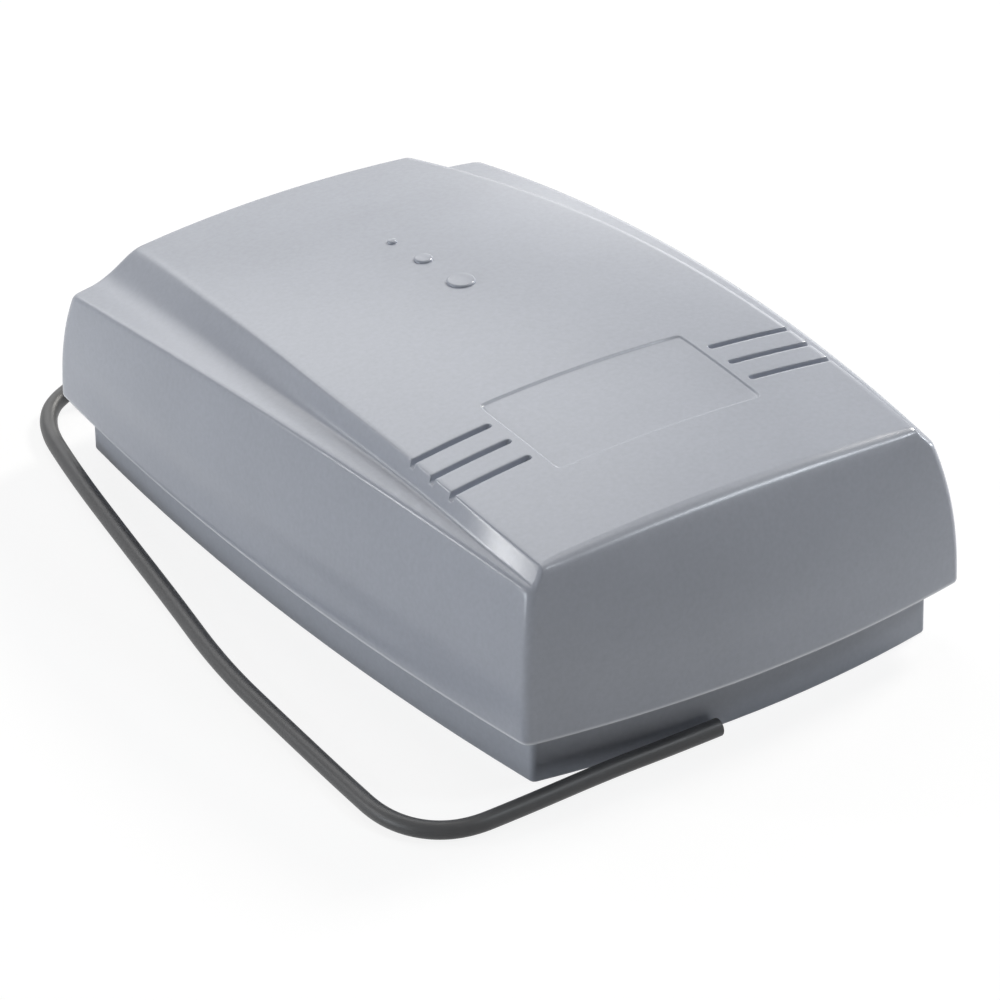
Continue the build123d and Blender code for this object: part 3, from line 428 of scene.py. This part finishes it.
# Columns follow the panel's edge from this x outward. Rows follow the marks between these two places.
PANEL_FROM = 13.5
MARKS_FRONT = -27.4
MARKS_BACK = -12.0
ROW_STEP = 0.9
# Height from which the search for the top's rim starts
FIRST_GUESS = 22.0


def spread(low, high, step):
    """Even places from low up to, and without, high."""
    count = max(round((high - low) / step), 1)
    return [low + (high - low) * number / count for number in range(count)]


def around(places, offsets):
    """Places at each offset on both sides of each place."""
    return [place + side * offset for place in places for offset in offsets for side in (-1, 1)]


def cover_columns():
    """Columns from left to right: a zone of the top, the place in it and the side."""
    edge_offsets = (0.02, 0.06, 0.1, 0.25)
    flat = spread(0, 10.9, 1.2) + [10.9] + around((LABEL_HALF,), (0.03, 0.08, 0.13, 0.17, 0.3))
    flat += [12.2] + around((GROOVE_IN - GROOVE_HALF,), edge_offsets) + [GROOVE_IN, 13.3]
    half = [("flat", x) for x in sorted(flat)]
    half += [("panel", share) for share in (0.15, 0.35, 0.55, 0.72, 0.85, 0.94)]
    half += [("riser", share) for share in spread(0, 1.04, 0.08)]
    half += [("shoulder", share) for share in (0.12, 0.28, 0.46, 0.64, 0.8, 0.91, 1)]
    left = [(zone, place, -1) for zone, place in reversed(half[1:])]
    return left + [(zone, place, 1) for zone, place in half]


def cover_rows():
    """Rows from front to back, as places on the middle line."""
    label_front = LABEL_BACK - LABEL_LENGTH
    rows = [-38.3, -38.2, -38.05, -37.85, -37.6] + spread(-37.2, MARKS_FRONT, ROW_STEP)
    rows += around((label_front, LABEL_BACK), (0.03, 0.08, 0.13, 0.17, 0.35))
    rows += around(GROOVE_ROWS, (0.0, 0.12, 0.2, 0.26, 0.29, 0.33, 0.37, 0.41, 0.6, 0.95))
    rows += [-25.6, -15.3, -12.9] + spread(MARKS_BACK, 37.5, ROW_STEP)
    rows += [37.5, 38.2, 38.75, 39.15, 39.35, 39.5]
    return sorted(set(round(row, 3) for row in rows))


COLUMNS = cover_columns()
ROWS = cover_rows()


def side_rim(y):
    """Half width at the edge where the shoulder meets the side wall."""
    x = side_width(y, FIRST_GUESS)
    for _ in range(2):
        x = side_width(y, roof_z(x, y))
    return x


def end_rim(x, end):
    """Distance to the edge where the top meets an end wall."""
    y = end_length(x, FIRST_GUESS, end)
    for _ in range(2):
        y = end_length(x, roof_z(x, end * y), end)
    return y


def column_x(column, y, inset):
    zone, place, side = COLUMNS[column]
    if zone == "flat":
        return side * place
    edge = panel_edge(side, y)
    if zone == "panel":
        return side * (PANEL_FROM + (edge - PANEL_FROM) * place)
    rim = side_rim(y) - (CREASE if inset else 0)
    foot = min(edge + by_station(RISER_RUN, y), rim - SHOULDER_LEAST)
    low, high = (edge, foot) if zone == "riser" else (foot, rim)
    return side * (low + (high - low) * place)


def end_crease(x, end):
    """Size of the round along an end's top edge: full size from a few millimetres inside the corners."""
    share = min(max(corner_width(FIRST_GUESS, end) - abs(x), 0) / END_CREASE_FROM, 1)
    full = END_CREASE if end < 0 else CREASE
    return CREASE + (full - CREASE) * share * share * (3 - 2 * share)


def row_y(row, x, inset):
    place = ROWS[row]
    bend = x * x / MARK_BOW
    inset = end_crease(x, -1 if place < 0 else 1) if inset else 0
    if place < MARKS_FRONT:
        rim = inset - end_rim(x, -1)
        return rim + (MARKS_FRONT - bend - rim) * (place - ROWS[0]) / (MARKS_FRONT - ROWS[0])
    if place > MARKS_BACK:
        rim = end_rim(x, 1) - inset
        share = (place - MARKS_BACK) / (ROWS[-1] - MARKS_BACK)
        return MARKS_BACK - bend + (rim - MARKS_BACK + bend) * share
    return place - bend


@cache
def grid_place(column, row, inset):
    """Plan place of a column and row on the cover's top, before its corners are rounded."""
    x, y = 0.0, ROWS[row]
    for _ in range(3):
        x = column_x(column, y, inset)
        y = row_y(row, x, inset)
    return x, y


def rounded(x, y, z, on_end, distance, radius):
    """Moves a point that lies near a sharp corner, on a line along the end or the side, onto a round."""
    if distance >= radius:
        return x, y
    turn = radians(45) * (1 - max(distance, 0) / radius)
    slide = radius - radius * sin(turn) - distance
    sink = radius - radius * cos(turn)
    inward_x, inward_y = (-1 if x > 0 else 1), (-1 if y > 0 else 1)
    end = -inward_y
    rise = 2 * end_bow(z, end) / corner_width(z, end)
    widen = 2 * BOW / corner_length(z, end)
    along_end = Vector((inward_x, -inward_y * rise)).normalized()
    along_side = Vector((-inward_x * widen, inward_y)).normalized()
    if on_end:
        shift = slide * along_end + sink * along_side
    else:
        shift = slide * along_side + sink * along_end
    return x + shift.x, y + shift.y


def top_place(column, row, inset):
    """Plan place of a column and row on the cover's top."""
    x, y = grid_place(column, row, inset)
    beside = side_rim(y) - abs(x)
    beyond = end_rim(x, -1 if y < 0 else 1) - abs(y)
    near, far = min(beside, beyond), max(beside, beyond)
    if far < CORNER:
        return rounded(x, y, FIRST_GUESS, beyond < beside, far - near, CORNER - near)
    return x, y


def wall_place(column, row, z):
    """Plan place at a height on the wall below a point of the cover's rim."""
    x0, y0 = grid_place(column, row, False)
    z0 = roof_z(x0, y0)
    end = -1 if y0 < 0 else 1
    if row in (0, len(ROWS) - 1):
        x = x0 * corner_width(z, end) / corner_width(z0, end)
        y = end * end_length(x, z, end)
        return rounded(x, y, z, True, corner_width(z, end) - abs(x), CORNER)
    front, back = corner_length(z, -1), corner_length(z, 1)
    y = (back - front + (back + front) * along(y0, z0)) / 2
    x = (-1 if x0 < 0 else 1) * side_width(y, z)
    return rounded(x, y, z, False, (back if y > 0 else front) - abs(y), CORNER)


@cache
def rim_z(column, row):
    return roof_z(*grid_place(column, row, False))


def crease_size(column, row):
    if row in (0, len(ROWS) - 1):
        x, y = grid_place(column, row, False)
        return end_crease(x, -1 if y < 0 else 1)
    return CREASE


def crease_place(column, row, share):
    """A point of the round between the top and a wall, on a curve with its corner at the sharp edge."""
    sharp_z = rim_z(column, row)
    size = crease_size(column, row)
    x, y = top_place(column, row, True)
    first = Vector((x, y, marked_z(x, y)))
    corner = Vector((*wall_place(column, row, sharp_z), sharp_z))
    last = Vector((*wall_place(column, row, sharp_z - size), sharp_z - size))
    return first * (1 - share) ** 2 + corner * 2 * share * (1 - share) + last * share**2


def wall_point(column, row, share):
    """A point of the outer wall, from its top at 0 to the start of the lip's round at 1."""
    high, low = rim_z(column, row) - crease_size(column, row), LIP + LIP_ROUND
    z = high + (low - high) * share
    return Vector((*wall_place(column, row, z), z))


def inset_point(column, row, z, inset):
    x, y = wall_place(column, row, z)
    return Vector((x * (1 - inset / HALF_W), y * (1 - inset / HALF_L), z))


def inner_z(column, row):
    return rim_z(column, row) - ROOF


def inner_point(column, row, share):
    """A point of the inner wall, from the lip at 0 to the roof at 1."""
    low, high = LIP + LIP_INSIDE, inner_z(column, row)
    return inset_point(column, row, low + (high - low) * share, WALL)


def add_grid(bm):
    """A sheet of faces with a point for each column and row. Its layers hold their numbers."""
    columns, rows = len(COLUMNS) - 1, len(ROWS) - 1
    made = bmesh.ops.create_grid(bm, x_segments=columns, y_segments=rows, size=1)["verts"]
    for vert in made:
        vert[bm.verts.layers.int["column"]] = round((vert.co.x + 1) / 2 * columns)
        vert[bm.verts.layers.int["row"]] = round((vert.co.y + 1) / 2 * rows)
    return made


def settle(bm, verts, place, *values):
    """Puts points where a function of their column and row says."""
    column, row = bm.verts.layers.int["column"], bm.verts.layers.int["row"]
    for vert in verts:
        vert.co = Vector(place(vert[column], vert[row], *values)) * MM


def outer_top(column, row):
    x, y = top_place(column, row, True)
    return x, y, marked_z(x, y)


def inner_top(column, row):
    if column in (0, len(COLUMNS) - 1) or row in (0, len(ROWS) - 1):
        return inner_point(column, row, 1)
    x, y = top_place(column, row, True)
    x, y = x * (1 - WALL / HALF_W), y * (1 - WALL / HALF_L)
    return x, y, roof_z(x, y) - ROOF


def add_piece(name, bm, material, body):
    """Ends a bmesh as a piece that rides on a body."""
    mesh = bpy.data.meshes.new(name)
    bm.to_mesh(mesh)
    bm.free()
    mesh.materials.append(material)
    for polygon in mesh.polygons:
        polygon.use_smooth = True
    piece = bpy.data.objects.new(name, mesh)
    scene.collection.objects.link(piece)
    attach(piece, body)
    return piece


CREASE_STEPS = 4
WALL_STEPS = 24
INNER_STEPS = 6


def add_cover(material):
    bm = bmesh.new()
    bm.verts.layers.int.new("column")
    bm.verts.layers.int.new("row")
    settle(bm, add_grid(bm), outer_top)
    ring = [edge for edge in bm.edges if edge.is_boundary]
    steps = [(crease_place, step / CREASE_STEPS) for step in range(1, CREASE_STEPS + 1)]
    steps += [(wall_point, step / WALL_STEPS) for step in range(1, WALL_STEPS + 1)]
    rounds = [(LIP + 0.16, 0.04), (LIP + 0.05, 0.13), (LIP, LIP_ROUND), (LIP, WALL - 0.3)]
    steps += [(inset_point, *values) for values in rounds + [(LIP + 0.15, WALL - 0.08)]]
    steps += [(inner_point, step / INNER_STEPS) for step in range(INNER_STEPS + 1)]
    for place, *values in steps:
        made = bmesh.ops.extrude_edge_only(bm, edges=ring)["geom"]
        settle(bm, [item for item in made if isinstance(item, bmesh.types.BMVert)], place, *values)
        ring = [item for item in made if isinstance(item, bmesh.types.BMEdge) and item.is_boundary]
    settle(bm, add_grid(bm), inner_top)
    bmesh.ops.remove_doubles(bm, verts=bm.verts, dist=0.0005 * MM)
    bmesh.ops.recalc_face_normals(bm, faces=bm.faces)
    cover = add_piece("cover_shell", bm, material, "cover")
    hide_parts("front_cover")


# Antenna wire: the route in metres, its strands in millimetres
WIRE_DIAMETER = 0.0018
STRAND_RING = 0.26
STRAND_RADIUS = 0.125
STRAND_LENGTH = 0.3
WIRE_ROUTE = (
    (-0.013, 0.03816, 0.0034),
    (-0.013, 0.0452, 0.0034),
    (-0.0186, 0.0484, 0.0017),
    (-0.0249, 0.0454, 0.00092),
    (-0.0279, 0.0336, 0.00092),
    (-0.0306, 0.02, 0.00092),
    (-0.033, 0.0074, 0.00092),
    (-0.0357, -0.0055, 0.00092),
    (-0.0367, -0.018, 0.00092),
    (-0.0375, -0.029, 0.00092),
    (-0.03795, -0.0374, 0.00092),
    (-0.034, -0.0422, 0.00092),
    (-0.0266, -0.0421, 0.00092),
    (-0.0165, -0.0416, 0.00092),
    (-0.0095, -0.0417, 0.00092),
    (-0.004, -0.0416, 0.00092),
)


def jacket_finish(name, color):
    """Soft insulation: faint streaks along the wire and a satin shine."""
    n = finish_nodes(name)
    fine = n.noise(0.25, 3.0, 0.6)
    dust = n.noise(5.0, 3.0, 0.6).between(0.45, 0.8)
    return n.surface(
        base_color=n.mix(dust, tone(color), tone(color, 1.35)),
        roughness=0.42 + (fine - 0.5) * 0.12 + dust * 0.08,
        normal=n.bump(fine, 0.01, 0.5),
    )


def add_wire(material):
    curve = bpy.data.curves.new("antenna_lead", "CURVE")
    curve.dimensions = "3D"
    curve.resolution_u = 16
    curve.bevel_depth = WIRE_DIAMETER / 2
    curve.bevel_resolution = 6
    curve.use_fill_caps = True
    spline = curve.splines.new("NURBS")
    spline.points.add(len(WIRE_ROUTE) - 1)
    for point, place in zip(spline.points, WIRE_ROUTE):
        point.co = (*place, 1)
    spline.order_u = 3
    spline.use_endpoint_u = True
    curve.materials.append(material)
    wire = bpy.data.objects.new("antenna_lead", curve)
    scene.collection.objects.link(wire)
    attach(wire, "receiver")
    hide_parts("antenna_wire")
    return wire


def add_strands(material):
    """The cut strands in the wire's end: six round one, a little proud of the jacket."""
    end = Vector(WIRE_ROUTE[-1])
    bm = bmesh.new()
    sixths = [pi / 3 * k for k in range(6)]
    middles = [(0, 0)] + [(STRAND_RING * cos(turn), STRAND_RING * sin(turn)) for turn in sixths]
    for y, z in middles:
        place = Matrix.Translation(end + Vector((-0.1, y, z)) * MM) @ Matrix.Rotation(pi / 2, 4, "Y")
        size, length = STRAND_RADIUS * MM, STRAND_LENGTH * MM
        bmesh.ops.create_cone(
            bm, cap_ends=True, segments=12, radius1=size, radius2=size, depth=length, matrix=place
        )
    rims = [edge for edge in bm.edges if len(edge.link_faces) == 2 and edge.calc_face_angle() > 1]
    bmesh.ops.bevel(bm, geom=rims, offset=0.02 * MM, segments=2, profile=0.5, affect="EDGES", material=-1)
    return add_piece("antenna_strands", bm, material, "receiver")


JACKET_GREY = (0.064, 0.064, 0.066)
COPPER = (0.72, 0.42, 0.25)
wire = add_wire(jacket_finish("wire_jacket", JACKET_GREY))
strands = add_strands(plated("copper_strand", COPPER, 0.35))


# Cover
DISCS = ((2.85, 7.0), (1.9, 13.5), (1.0, 19.0))
DISC_X = 0.8
DISC_RISE = 0.34
DISC_EDGE = 0.22
DISC_DOME = 0.05
DISC_FOOT = 0.2
DISC_SEGMENTS = 40
RIB_WIDTH = 1.4
RIB_BOTTOM = 10.4
RIB_EDGE = 0.15
SIDE_RIB_YS = (-24.0, 0.0, 24.0)
END_RIB_XS = (-9.0, 9.0)
BASE_INSET = 2.25
BASE_WALL = 1.8
BASE_BOW = 2.2


def add_discs(material):
    """Three small raised discs, slightly domed, with a round edge."""
    bm = bmesh.new()
    for diameter, y in DISCS:
        radius = diameter / 2
        edge = min(DISC_EDGE, radius * 0.5)
        top = crown(DISC_X, y) + DISC_RISE
        flat = radius - edge
        profile = [(0, top), (flat * 0.5, top - DISC_DOME / 4), (flat, top - DISC_DOME)]
        for k in range(1, 7):
            turn = radians(15 * k)
            profile.append((flat + edge * sin(turn), top - DISC_DOME - edge * (1 - cos(turn))))
        profile.append((radius, top - DISC_RISE - DISC_FOOT))
        verts = [bm.verts.new(Vector((DISC_X + r, y, z)) * MM) for r, z in profile]
        edges = [bm.edges.new(pair) for pair in zip(verts, verts[1:])]
        bmesh.ops.spin(
            bm,
            geom=verts + edges,
            cent=Vector((DISC_X, y, 0)) * MM,
            axis=(0, 0, 1),
            angle=2 * pi,
            steps=DISC_SEGMENTS,
            use_merge=True,
        )
    bmesh.ops.remove_doubles(bm, verts=bm.verts, dist=0.001 * MM)
    bmesh.ops.holes_fill(bm, edges=[edge for edge in bm.edges if edge.is_boundary], sides=0)
    bmesh.ops.recalc_face_normals(bm, faces=bm.faces)
    add_piece("cover_discs", bm, material, "cover")


def add_ribs(material):
    """Ribs inside the cover that stop it on the base's rim. Their outer edges lean with the walls."""
    bm = bmesh.new()
    ribs = []
    for y in SIDE_RIB_YS:
        inner = HALF_W + BASE_BOW * (1 - (y / HALF_L) ** 2) - BASE_INSET - BASE_WALL
        top = roof_z(inner, y) - ROOF / 2
        walls = [side_width(y, z) - WALL / 2 for z in (RIB_BOTTOM, top)]
        ribs += [(Vector((side, 0)), Vector((0, y)), inner, walls, top) for side in (-1, 1)]
    for x in END_RIB_XS:
        inner = HALF_L + BASE_BOW * (1 - (x / HALF_W) ** 2) - BASE_INSET - BASE_WALL
        for end in (-1, 1):
            top = roof_z(x, end * inner) - ROOF / 2
            walls = [end_length(x, z, end) - WALL / 2 for z in (RIB_BOTTOM, top)]
            ribs.append((Vector((0, end)), Vector((x, 0)), inner, walls, top))
    for outward, root, inner, walls, top in ribs:
        across = Vector((outward.y, outward.x)) * RIB_WIDTH
        for vert in bmesh.ops.create_cube(bm, size=1)["verts"]:
            reach = inner if vert.co.x < 0 else walls[vert.co.z > 0]
            plan = root + outward * reach + across * vert.co.y
            vert.co = Vector((*plan, top if vert.co.z > 0 else RIB_BOTTOM)) * MM
    bmesh.ops.recalc_face_normals(bm, faces=bm.faces)
    bmesh.ops.bevel(
        bm, geom=bm.edges[:], offset=RIB_EDGE * MM, segments=2, profile=0.5, affect="EDGES", material=-1
    )
    add_piece("cover_ribs", bm, material, "cover")


COVER_COLOR = (0.425, 0.447, 0.51)
# Colour of the painted highlight along the lip's bottom edge
LIP_HIGHLIGHT_COLOR = (0.72, 0.74, 0.79)
# The cover's colour carries a painted highlight along the lip's bottom edge
cover_plastic = moulded("cover_plastic", COVER_COLOR, roughness=0.24, specular=0.6, painted_light=lip_painted_highlight)
add_cover(cover_plastic)
add_discs(cover_plastic)
add_ribs(cover_plastic)


# Finishes of the carried-over parts
def laminate(name, color, lines):
    """Lacquered board: glass weave, and tracks that run along and across, a little raised and lighter."""
    n = finish_nodes(name)
    x, y, _ = n.axes()
    lengthwise = n.noise(lines * 4, 0.0) > 0.5
    width = lines * 0.3
    tracks = (x % lines < width) * lengthwise + (y % lines < width) * (1 - lengthwise)
    weave = n.noise(0.35, 1.0)
    lacquer = n.mix(weave, tone(color, 0.9), tone(color, 1.1))
    track_color = tone((color[0] * 2.2, color[1] * 1.6, color[2] * 1.7))
    return n.surface(
        base_color=n.mix(tracks * 0.6, lacquer, track_color),
        roughness=0.28 + weave * 0.08,
        normal=n.bump(tracks + weave * 0.15, 0.02, 0.5),
    )


def near(value, centre, half):
    """1 where a coordinate lies within a half width of a centre."""
    return abs(value - centre) < half


def chip_legs(y, half_width, leg_top):
    """Mask of a chip's legs, outside its body and below it."""
    return lambda x_, y_, z_: (abs(y_ - y) > half_width).most(z_ < leg_top)


def posts_above(level):
    return lambda x_, y_, z_: z_ > level


def below(level):
    return lambda x_, y_, z_: z_ < level


# Places of the masks' edges, in millimetres
RESISTOR_YS = (-6.35, -21.6)
RESISTOR_HALF = 3.08
BAND_HALF = 0.26
DIODE_Y = -5.8
DIODE_HALF = 2.08
DIODE_BAND_Y = -4.5
DIODE_BAND_HALF = 0.28
REGULATOR_BACK = -4.6
RECTIFIER_BOTTOM = 8.1
TRANSISTOR_BOTTOM = 8.2
DIPPED_BOTTOM = 8.3
PIN_FOOT = 10.31
CHIP_HALF = 3.22
COIL_WAIST = 13.6
WINDING_HALF = 1.1
WINDING_PITCH = 0.22
LED_FOOT = 8.0
LED_TOP = 13.0


def resistor_place(y_):
    """Place along a resistor, from its middle: the front one lies apart from the rest."""
    front = y_ < (RESISTOR_YS[0] + RESISTOR_YS[1]) / 2
    return y_ - RESISTOR_YS[0] + front * (RESISTOR_YS[0] - RESISTOR_YS[1])


def resistor_leads(x_, y_, z_):
    return abs(resistor_place(y_)) > RESISTOR_HALF


def band_at(place):
    return lambda x_, y_, z_: near(resistor_place(y_), place, BAND_HALF)


def electrolytic(name, x, y, radius, top):
    """Capacitor sleeve with a pale stripe, and its bare lid with a pressed cross."""
    n = finish_nodes(name)
    x_, y_, z_ = n.axes()
    from_x, from_y = x_ - x, y_ - y
    reach = (from_x * from_x + from_y * from_y).root()
    lid = (z_ > top - 0.12) * (reach < radius * 0.78)
    cross = lid * (abs(from_x + from_y) < 0.22).most(abs(from_x - from_y) < 0.22)
    stripe = (from_x < -radius * 0.8) * (z_ < top - 0.1)
    fine = n.noise(0.3, 3.0, 0.6)
    sleeve = n.mix(stripe, (0.018, 0.026, 0.075, 1), (0.5, 0.52, 0.56, 1))
    return n.surface(
        base_color=n.mix(lid, sleeve, n.mix(cross, (0.7, 0.7, 0.72, 1), (0.3, 0.3, 0.31, 1))),
        metallic=lid,
        roughness=0.3 + (fine - 0.5) * 0.1,
        normal=n.bump(fine - cross * 4, 0.02, 0.5),
    )


def dipped(name, color, roughness=0.25):
    """Dipped coating with a slightly wavy skin, and tinned leads below it."""
    n = finish_nodes(name)
    wave = n.noise(1.6, 2.0)
    share = n.axes()[2] < DIPPED_BOTTOM
    return n.surface(
        base_color=n.mix(share, n.mix(wave, tone(color, 0.8), tone(color, 1.2)), (0.62, 0.6, 0.55, 1)),
        metallic=share,
        roughness=roughness + wave * 0.12,
        normal=n.bump(wave, 0.08, 0.5),
    )


def coil_finish(name):
    """Ferrite with a copper winding round its waist."""
    n = finish_nodes(name)
    z_ = n.axes()[2]
    wound = near(z_, COIL_WAIST, WINDING_HALF)
    turn = abs((z_ % WINDING_PITCH) - WINDING_PITCH / 2) * 9
    grain = n.noise(0.4, 3.0, 0.6)
    ferrite = n.mix(grain, (0.05, 0.047, 0.045, 1), (0.09, 0.085, 0.08, 1))
    return n.surface(
        base_color=n.mix(wound, ferrite, (0.5, 0.2, 0.08, 1)),
        metallic=wound,
        roughness=0.55 - wound * 0.25 + (grain - 0.5) * 0.1,
        normal=n.bump(grain * (1 - wound) + turn * wound, 0.05, 0.6),
    )


def clear_red(name):
    """Tinted clear epoxy, lighter in its dome."""
    n = finish_nodes(name)
    z_ = n.axes()[2]
    glow = n.noise(1.2, 2.0)
    return n.surface(
        base_color=n.mix(z_.between(LED_FOOT, LED_TOP), (0.35, 0.012, 0.01, 1), (0.75, 0.05, 0.03, 1)),
        roughness=0.12 + glow * 0.08,
        transmission_weight=0.35,
        normal=n.bump(glow, 0.01, 0.3),
    )


BLACK = (0.028, 0.028, 0.03)
GILT = (0.83, 0.6, 0.25)
TIN = (0.72, 0.71, 0.68)
GREEN = (0.05, 0.24, 0.12)
CHIP_BLACK = (0.03, 0.03, 0.032)
zinc = plated("zinc_steel", (0.66, 0.67, 0.68), 0.28)
brass = plated("tinned_brass", (0.72, 0.69, 0.6), 0.3)
terminal_green = moulded("terminal_plastic", GREEN, 0.38, 0.3)
relay_black = moulded("relay_plastic", (0.03, 0.03, 0.034), 0.33, 0.3)
board_green = laminate("board_laminate", (0.03, 0.17, 0.07), 1.9)
FINISHES = {
    "rear_base": moulded("base_plastic", (0.41, 0.43, 0.48), 0.5),
    "cable_grommet": moulded("black_rubber", (0.03, 0.03, 0.032), 0.7, 0.5, 0.02),
    "circuit_board": board_green,
    "radio_board": laminate("radio_laminate", (0.02, 0.1, 0.16), 1.3),
    "board_screws": zinc,
    "terminal_block": terminal_green,
    "antenna_terminal": terminal_green,
    "terminal_contacts": brass,
    "relay_1": relay_black,
    "relay_2": relay_black,
    "surge_discs": dipped("blue_epoxy", (0.04, 0.11, 0.4)),
    "ceramic_capacitors": dipped("ceramic_coat", (0.6, 0.28, 0.06), 0.4),
    "buffer_capacitor": electrolytic("capacitor_sleeve", -6.7, 4.6, 3.15, 18.8),
    "bridge_rectifier": two_part("rectifier_body", below(RECTIFIER_BOTTOM), CHIP_BLACK, TIN),
    "voltage_regulator": two_part(
        "regulator_body", lambda x_, y_, z_: y_ > REGULATOR_BACK, CHIP_BLACK, TIN
    ),
    "transistors": two_part("transistor_body", below(TRANSISTOR_BOTTOM), BLACK, TIN),
    "diodes": two_part(
        "diode_epoxy",
        lambda x_, y_, z_: abs(y_ - DIODE_Y) > DIODE_HALF,
        BLACK,
        TIN,
        bands=[(lambda x_, y_, z_: near(y_, DIODE_BAND_Y, DIODE_BAND_HALF), (0.6, 0.6, 0.6))],
    ),
    "resistors": two_part(
        "resistor_coat",
        resistor_leads,
        (0.6, 0.45, 0.27),
        TIN,
        bands=[
            (band_at(-2.2), (0.16, 0.05, 0.02)),
            (band_at(-1.1), (0.02, 0.02, 0.02)),
            (band_at(0.0), (0.55, 0.04, 0.02)),
            (band_at(2.2), (0.5, 0.33, 0.07)),
        ],
    ),
    "microcontroller": two_part("chip_plastic", chip_legs(-13.6, CHIP_HALF, 8.38), CHIP_BLACK, TIN),
    "memory_chip": two_part("memory_plastic", chip_legs(-22.6, CHIP_HALF, 10.78), CHIP_BLACK, TIN),
    "memory_socket": moulded("socket_plastic", BLACK, 0.5, 0.3),
    "crystal": plated("can_metal", (0.74, 0.74, 0.75), 0.25, 0.4, (6, 1, 1)),
    "program_switch": moulded("switch_plastic", (0.05, 0.05, 0.055), 0.45),
    "switch_dome": plated("spring_steel", (0.6, 0.6, 0.61), 0.2),
    "program_button": moulded("button_plastic", (0.5, 0.035, 0.03), 0.4),
    "status_led": clear_red("led_epoxy"),
    "jumper_header": two_part("header_plastic", posts_above(PIN_FOOT), BLACK, GILT),
    "radio_header": two_part("radio_header_plastic", posts_above(PIN_FOOT), BLACK, GILT),
    "jumper_cap": moulded("black_plastic", (0.025, 0.025, 0.03), 0.4),
    "radio_shield": plated("shield_metal", (0.68, 0.68, 0.69), 0.24, 0.7, (1, 5, 5)),
    "radio_coil": coil_finish("coil_ferrite"),
    "antenna_wire_tail": jacket_finish("tail_jacket", JACKET_GREY),
    "antenna_conductor": plated("conductor_copper", COPPER, 0.35, 0.2),
}
for name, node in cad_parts.items():
    if "_screw_" in name:
        finish = zinc
    elif "_clamp_" in name:
        finish = brass
    else:
        finish = FINISHES.get(name, cover_plastic)
    for slot in node.material_slots:
        slot.material = finish


# Light and backdrop
ROOM_LIGHT = 0.012
FLOOR_SIZE = 4
FLOOR_SEEN = (0.18, 0.18, 0.18, 1)
FLOOR_GLOW = 0.87
WHITE = (1, 1, 1, 1)
LAMP_AIM = Vector((0, 0, 0.01))


def sees_backdrop(n):
    """1 for rays that show the backdrop: from the camera, and in metal and glass."""
    kinds = ("Is Camera Ray", "Is Glossy Ray", "Is Transmission Ray")
    rays = [n.make("LightPath", output=kind) for kind in kinds]
    return rays[0].most(rays[1]).most(rays[2])


def add_world():
    world = bpy.data.worlds.new("studio")
    scene.world = world
    n = Nodes(world)
    room = n.make("Background", None, {"Color": WHITE, "Strength": ROOM_LIGHT})
    backdrop = n.make("Background", None, {"Color": WHITE, "Strength": 1.0})
    mixed = n.make("MixShader", None, {0: sees_backdrop(n), 1: room, 2: backdrop})
    n.make("OutputWorld", None, {"Surface": mixed})


def add_floor():
    n = finish_nodes("floor")
    cloud = n.noise(400)
    plain = n.make("BsdfDiffuse", None, {"Color": n.mix(cloud, (0.8, 0.8, 0.8, 1), (0.84, 0.84, 0.84, 1))})
    shaded = n.make("BsdfDiffuse", None, {"Color": FLOOR_SEEN})
    glow = n.make("Emission", None, {"Color": WHITE, "Strength": FLOOR_GLOW})
    seen = n.make("AddShader", None, {0: shaded, 1: glow})
    mixed = n.make("MixShader", None, {0: sees_backdrop(n), 1: plain, 2: seen})
    n.make("OutputMaterial", None, {"Surface": mixed})
    bm = bmesh.new()
    bmesh.ops.create_grid(bm, x_segments=1, y_segments=1, size=FLOOR_SIZE)
    mesh = bpy.data.meshes.new("floor")
    bm.to_mesh(mesh)
    bm.free()
    mesh.materials.append(n.owner)
    floor = bpy.data.objects.new("floor", mesh)
    scene.collection.objects.link(floor)


def add_lamp(name, place, size, watts, color):
    data = bpy.data.lights.new(name, "AREA")
    data.shape = "DISK"
    data.size = size
    data.energy = watts
    data.color = color
    lamp = bpy.data.objects.new(name, data)
    lamp.location = place
    lamp.rotation_euler = (LAMP_AIM - Vector(place)).to_track_quat("-Z", "Y").to_euler()
    scene.collection.objects.link(lamp)


NEUTRAL = (1.0, 1.0, 1.0)
WARM = (1.0, 0.975, 0.92)
COOL = (0.88, 0.94, 1.0)
# Each lamp's place and width in metres, its watts and its colour
LAMPS = {
    "high_lamp": ((1.14, 0.3, 0.92), 0.35, 12.6, WARM),
    "top_lamp": ((0.3, 0.35, 1.4), 0.6, 2.0, WARM),
    "back_lamp": ((0.25, 1.1, 1.0), 1.2, 6.0, NEUTRAL),
    "far_lamp": ((1.0, 1.07, 0.29), 0.5, 0.9, NEUTRAL),
    "left_lamp": ((-1.07, 0.9, 0.56), 0.22, 3.0, NEUTRAL),
    "low_left_lamp": ((-1.45, 0.3, 0.12), 0.8, 9.2, COOL),
    "right_lamp": ((1.45, -0.1, 0.2), 0.4, 5.0, COOL),
    "edge_lamp": ((0.81, -0.68, 1.06), 0.26, 3.8, COOL),
}
add_world()
add_floor()
for lamp_name, settings in LAMPS.items():
    add_lamp(lamp_name, *settings)
